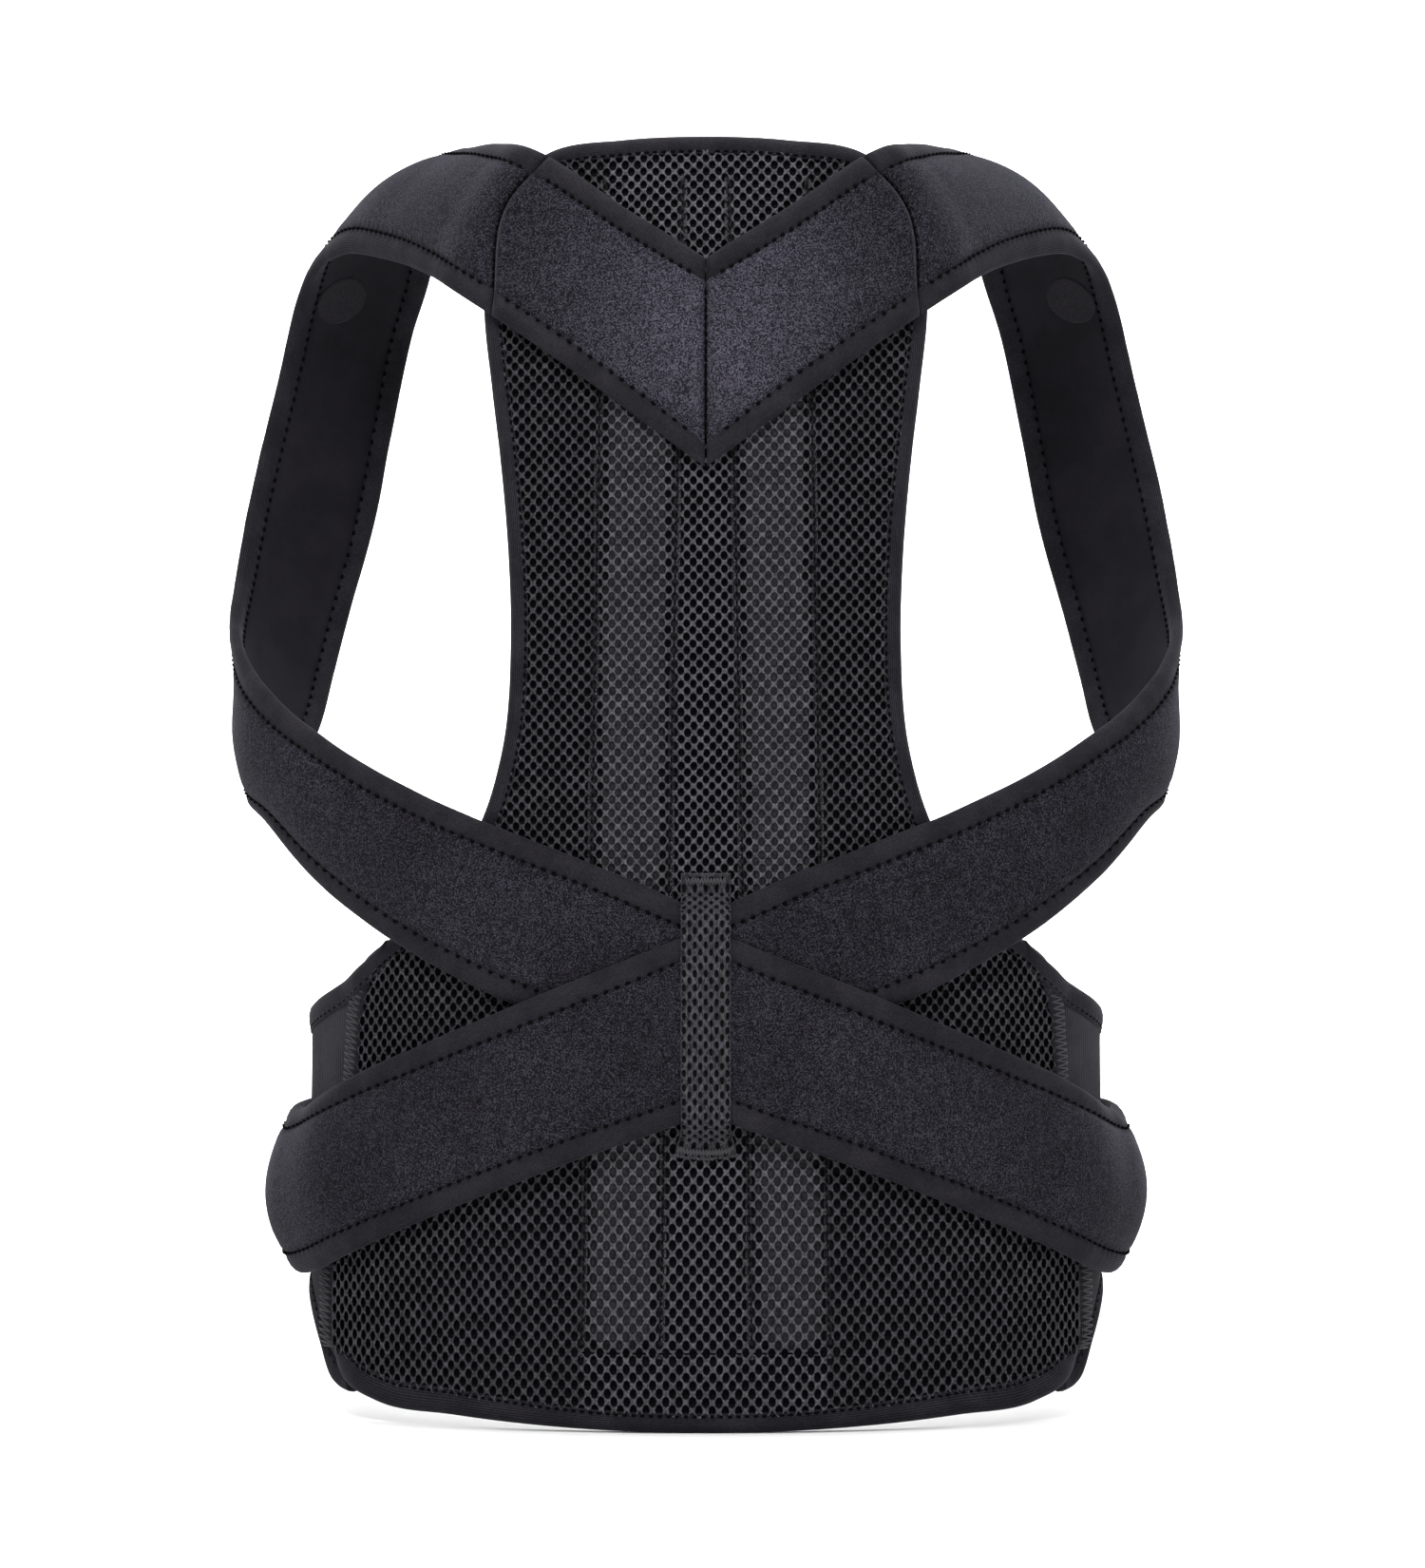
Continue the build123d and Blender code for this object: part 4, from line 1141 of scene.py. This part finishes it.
def belt():
    """Elastic, front panels and edge tapes on both sides."""
    for name, side in SIDES.items():
        front_angle = math.degrees(math.asin(FRONT_PANEL_Y / (TORSO_FRONT_DEPTH + LAP[name] + 3)))
        end_angle = 90 + math.degrees(math.asin(LAP_X / (TORSO_HALF_WIDTH + 3)))
        wing = f"{name}_wing"
        elastic = belt_elastic(name, BELT_START, front_angle)
        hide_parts(f"side_elastic_{name}", f"wing_elastic_{name}")
        bend(elastic)
        front = front_panel(name, front_angle, end_angle)
        declare(front, "loop_fleece", f"front_panel_{name}", body=wing)
        for part, edge, sign, first in BELT_TAPES:
            piece, thread = belt_tape(part, name, first, end_angle, edge, sign)
            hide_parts(f"{part}_band_{name}")
            for sewn in (piece, thread):
                bend(sewn)


HOOK_SPACING, HOOK_THICKNESS = 1.6, 0.2


def patch(name, node, body, side_name, lift, thickness, look, hooks, facing_out):
    """A sewn patch of hook or loop tape on the front of the belt, where its CAD node is."""
    low, high = (np.array(corner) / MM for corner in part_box(node))
    reach = TORSO_HALF_WIDTH + lift
    shares = (-x * SIDES[side_name] / reach for x in (low[0] + 0.3, high[0] - 0.3))
    ends = sorted(math.degrees(math.acos(np.clip(share, -1, 1))) for share in shares)
    angles, lengths = even_angles(*ends, 0.9, side_name)
    z = np.linspace(low[2] + 0.3, high[2] - 0.3, 60)
    near = np.minimum(from_ends(lengths)[:, None], from_ends(z))
    edge = 1 - 0.75 * np.exp(-((near / 0.8) ** 2))
    outer = on_belt(angles[:, None], z, lift + facing_out * thickness * edge, side_name)
    inner = on_belt(angles[:, None], z[::-1], lift - facing_out * 0.3, side_name)
    piece = shell(name, outer, inner, [look], lengths)
    declare(piece, "hook_and_loop", node, body=body)
    if not hooks:
        return
    angle, height = np.meshgrid(
        np.arange(angles[0] + 0.9, angles[-1] - 0.8, math.degrees(HOOK_SPACING / reach)),
        np.arange(z[0] + 2.5, z[-1] - 2.4, HOOK_SPACING),
    )
    angle, height = angle.ravel(), height.ravel()
    foot = on_belt(angle, height, lift + facing_out * (thickness - 0.1), side_name)
    tip = on_belt(angle, height + 0.55, lift + facing_out * (thickness + 0.75), side_name)
    field = stitches(f"{name}_hooks", [(foot, tip, facing((0, 0, 1), len(foot)))], look, HOOK_THICKNESS)
    declare(field, "hook_and_loop", body=body)


def patches():
    """Closure in the middle of the front, and the hook patches under the strap ends."""
    patch("closure_hook_tape", "closure_hook", "left_wing", "left", 0.75, 0.6, HOOKS, True, -1)
    patch("closure_loop_tape", "closure_loop", "right_wing", "right", 3.75, 0.75, LOOPS, False, 1)
    for name in SIDES:
        node, body = f"strap_hook_{name}", f"{name}_strap_end"
        patch(f"strap_hook_tape_{name}", node, body, name, 4.9, 0.55, HOOKS, True, -1)


# ---------------------------------------------------------------- keeper

def keeper_line():
    """Points down the middle of the keeper's face: y and z, and the way out of it."""
    path = curve_through(KEEPER_PATH, 16)
    line = np.stack([-(back_depth(path[:, 0]) + path[:, 1]), path[:, 0]], -1)
    lengths = along(line)
    ahead = unit(np.gradient(line, axis=0))
    return lengths, np.hstack([line, ahead[:, 1:], -ahead[:, :1]])


KEEPER_LENGTHS, KEEPER_ROWS = keeper_line()


def keeper_place(u, v, h):
    """Points of the keeper: u across it and v down it. Its fold at the bottom spreads."""
    end = KEEPER_LENGTHS[-1]
    v = np.clip(v, 0, end)
    beyond = np.clip(abs(u) - 9.5, 0, 2)
    u, h = u - np.sign(u) * beyond * 0.7, h - beyond
    y, z, out_y, out_z = np.moveaxis(at_lengths(KEEPER_LENGTHS, KEEPER_ROWS, v), -1, 0)
    spread = 1 + 0.22 * smoothstep(end - 9, end - 2, v)
    edge = np.exp(-((np.clip(KEEPER_HALF_WIDTH - abs(u), 0, 20) / 1.6) ** 2))
    dent = 1.1 * np.exp(-(((v - 7) / 1.3) ** 2))
    h = h - 0.9 * edge + 0.3 * wobble(u * 3, v, 33, 51) - dent
    sag = 1.5 * (1 - (u / KEEPER_HALF_WIDTH) ** 2) * smoothstep(end - 9, end - 4, v)
    return np.stack([u * spread, y + out_y * h, z + out_z * h - sag], -1)


# Across the keeper's back and height below its face, round its section.
KEEPER_RING = [
    (-9.6, -0.9), (-9.9, -1.2), (-9.8, -1.8), (-9.0, -2.2), (0, -2.2), (9.0, -2.2), (9.8, -1.8),
    (9.9, -1.2), (9.6, -0.9), (9.0, -1.8), (0, -1.8), (-9.0, -1.8),
]
KEEPER_NET_PITCH, KEEPER_NET_HOLE = (4.2, 5.5), (0.62, 1.3)
TACK_COLUMNS = 60


def keeper():
    """Knitted loop with long holes, its back, and the bar tacks at its ends."""
    pitch = KEEPER_NET_PITCH
    end = KEEPER_LENGTHS[-1]
    columns, rows = round(2 * KEEPER_HALF_WIDTH / pitch[0]), int(2 * end / pitch[1])
    cells = diamond_cells(columns, np.arange(1, rows))
    cells = cells[abs(cells[:, 0]) * pitch[0] / 2 < KEEPER_HALF_WIDTH - 1]
    floor = np.full(len(cells), 1.2)
    looks = [KEEPER_STRANDS, SHADED_FLANKS, DEPTH]
    face = net("keeper_face", cells, pitch, KEEPER_NET_HOLE, keeper_place, floor, looks)
    declare(face, "air_mesh", "keeper_loop")
    lengths = np.linspace(0, end, 120)
    across, height = np.array(KEEPER_RING).T
    rings = keeper_place(*np.broadcast_arrays(across, lengths[:, None], height + 0.35))
    declare(skin("keeper_back", rings, [KEEPER_STRANDS], lengths=lengths), "air_mesh")
    up = facing(BACKWARDS, TACK_COLUMNS)
    for name, middle, wide in (("keeper_top_tack", 3.2, 8.6), ("keeper_bottom_tack", end - 3.4, 10.2)):
        across = np.linspace(-wide, wide, TACK_COLUMNS)
        lines = [keeper_place(across / 1.1, middle + gap + 0 * across, 0.55) for gap in (-1.5, 1.5)]
        thread = stitches(f"{name}_thread", [zigzag(*lines, up, 0.62)], GREY_THREAD, 0.3)
        declare(thread, "tack_thread", name)


# ---------------------------------------------------------------- stage, light and camera

# Place of each light, the point that it faces, its width and height, all in metres, and its watts.
MIDDLE = (0, 0, 0.27)
LIGHTS = {
    "key": ((-0.25, -2.1, 2.0), MIDDLE, (1.2, 0.7), 66),
    "fill": ((0.8, -2.6, 0.5), MIDDLE, (1.0, 1.0), 12),
    "left_rim": ((-1.5, 0.9, 0.8), MIDDLE, (0.5, 1.4), 6),
    "right_rim": ((1.5, 0.9, 0.8), MIDDLE, (0.5, 1.4), 6),
    "crest": ((0, -0.15, 1.7), (0, -0.02, 0.4), (0.9, 0.5), 15),
    "overhead": ((0, 1.2, 2.8), (0, 1.2, 0), (3.2, 3.2), 125),
    "wall": ((0, 2.1, 2.0), (0, 3.7, 0.4), (3.4, 1.0), 120),
}
ROOM_LIGHT = 0.30
STUDIO_WHITE = (0.86, 0.86, 0.86)
SWEEP_FRONT, SWEEP_WALL, SWEEP_BEND, SWEEP_TOP, SWEEP_HALF_WIDTH = -5200, 2700.0, 1000.0, 5200, 6000.0
LENS, SENSOR = 147.6, 36
# Where the camera stands, in metres. It is a little to the right of the middle of the CAD box.
CAMERA_RIGHT, CAMERA_Y, CAMERA_Z = 0.0026, -2.6, 0.252


def studio():
    """A pale sweep that curves up behind the brace."""
    look = Look("studio_white", 0.9, level=0.2)
    white = look.mix(look.noise(900, 1), tuple(c * 0.99 for c in STUDIO_WHITE), STUDIO_WHITE)
    turn = np.linspace(0, math.pi / 2, 24)
    end = [SWEEP_WALL + SWEEP_BEND]
    y = np.concatenate([[SWEEP_FRONT], SWEEP_WALL + SWEEP_BEND * np.sin(turn), end])
    z = np.concatenate([[0], SWEEP_BEND * (1 - np.cos(turn)), [SWEEP_TOP]])
    points = [(x, *row) for row in zip(y, z) for x in (-SWEEP_HALF_WIDTH, SWEEP_HALF_WIDTH)]
    faces = [(2 * i, 2 * i + 1, 2 * i + 3, 2 * i + 2) for i in range(len(y) - 1)]
    new_object("studio_sweep", points, faces, [look.finish(white)])


def area_light(name, place, aim, size, watts):
    """A rectangular light that faces a point."""
    data = bpy.data.lights.new(name, "AREA")
    data.shape = "RECTANGLE"
    data.size, data.size_y = size
    data.energy = watts
    light = bpy.data.objects.new(name, data)
    bpy.context.collection.objects.link(light)
    light.location = place
    x, y, z = np.array(aim) - np.array(place)
    light.rotation_euler = (math.atan2(math.hypot(x, y), -z), 0, math.atan2(-x, y))


def lights():
    """A soft key from above the camera, light from the pale room, and a bright sweep."""
    world = bpy.data.worlds.new("studio")
    bpy.context.scene.world = world
    world.use_nodes = True
    background = world.node_tree.nodes["Background"].inputs
    background["Color"].default_value = (1, 1, 1, 1)
    background["Strength"].default_value = ROOM_LIGHT
    for name, values in LIGHTS.items():
        area_light(name, *values)


def camera():
    """Straight behind the brace, level with its middle."""
    bpy.context.scene.view_settings.view_transform = "Standard"
    low, high = cad_box
    data = bpy.data.cameras.new("camera")
    data.lens, data.sensor_width = LENS, SENSOR
    data.clip_start, data.clip_end = 0.05, 50
    thing = bpy.data.objects.new("camera", data)
    bpy.context.collection.objects.link(thing)
    thing.location = ((low[0] + high[0]) / 2 + CAMERA_RIGHT, CAMERA_Y, CAMERA_Z)
    thing.rotation_euler = (math.pi / 2, 0, 0)
    bpy.context.scene.camera = thing


camera()
studio()
lights()
panel_nets()
channel_seams()
panel_binding()
panel_edge_thread()
panel_lining()
straps()
waist_straps()
belt()
patches()
keeper()

ALUMINIUM = grained_look(
    "stay_mill_aluminium", (0.38, 0, 1, 0.5), (0.5, 4, 0.6, (1, 1, 0.03)), (0.55, 0.56, 0.58),
    (0.78, 0.78, 0.8), (0.02, 0.4),
)
CAD_LOOKS = {"back_foam": foam_look(), "stay_left": ALUMINIUM, "stay_right": ALUMINIUM}
for node_name, look in CAD_LOOKS.items():
    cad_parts[node_name].data.materials.clear()
    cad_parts[node_name].data.materials.append(look)
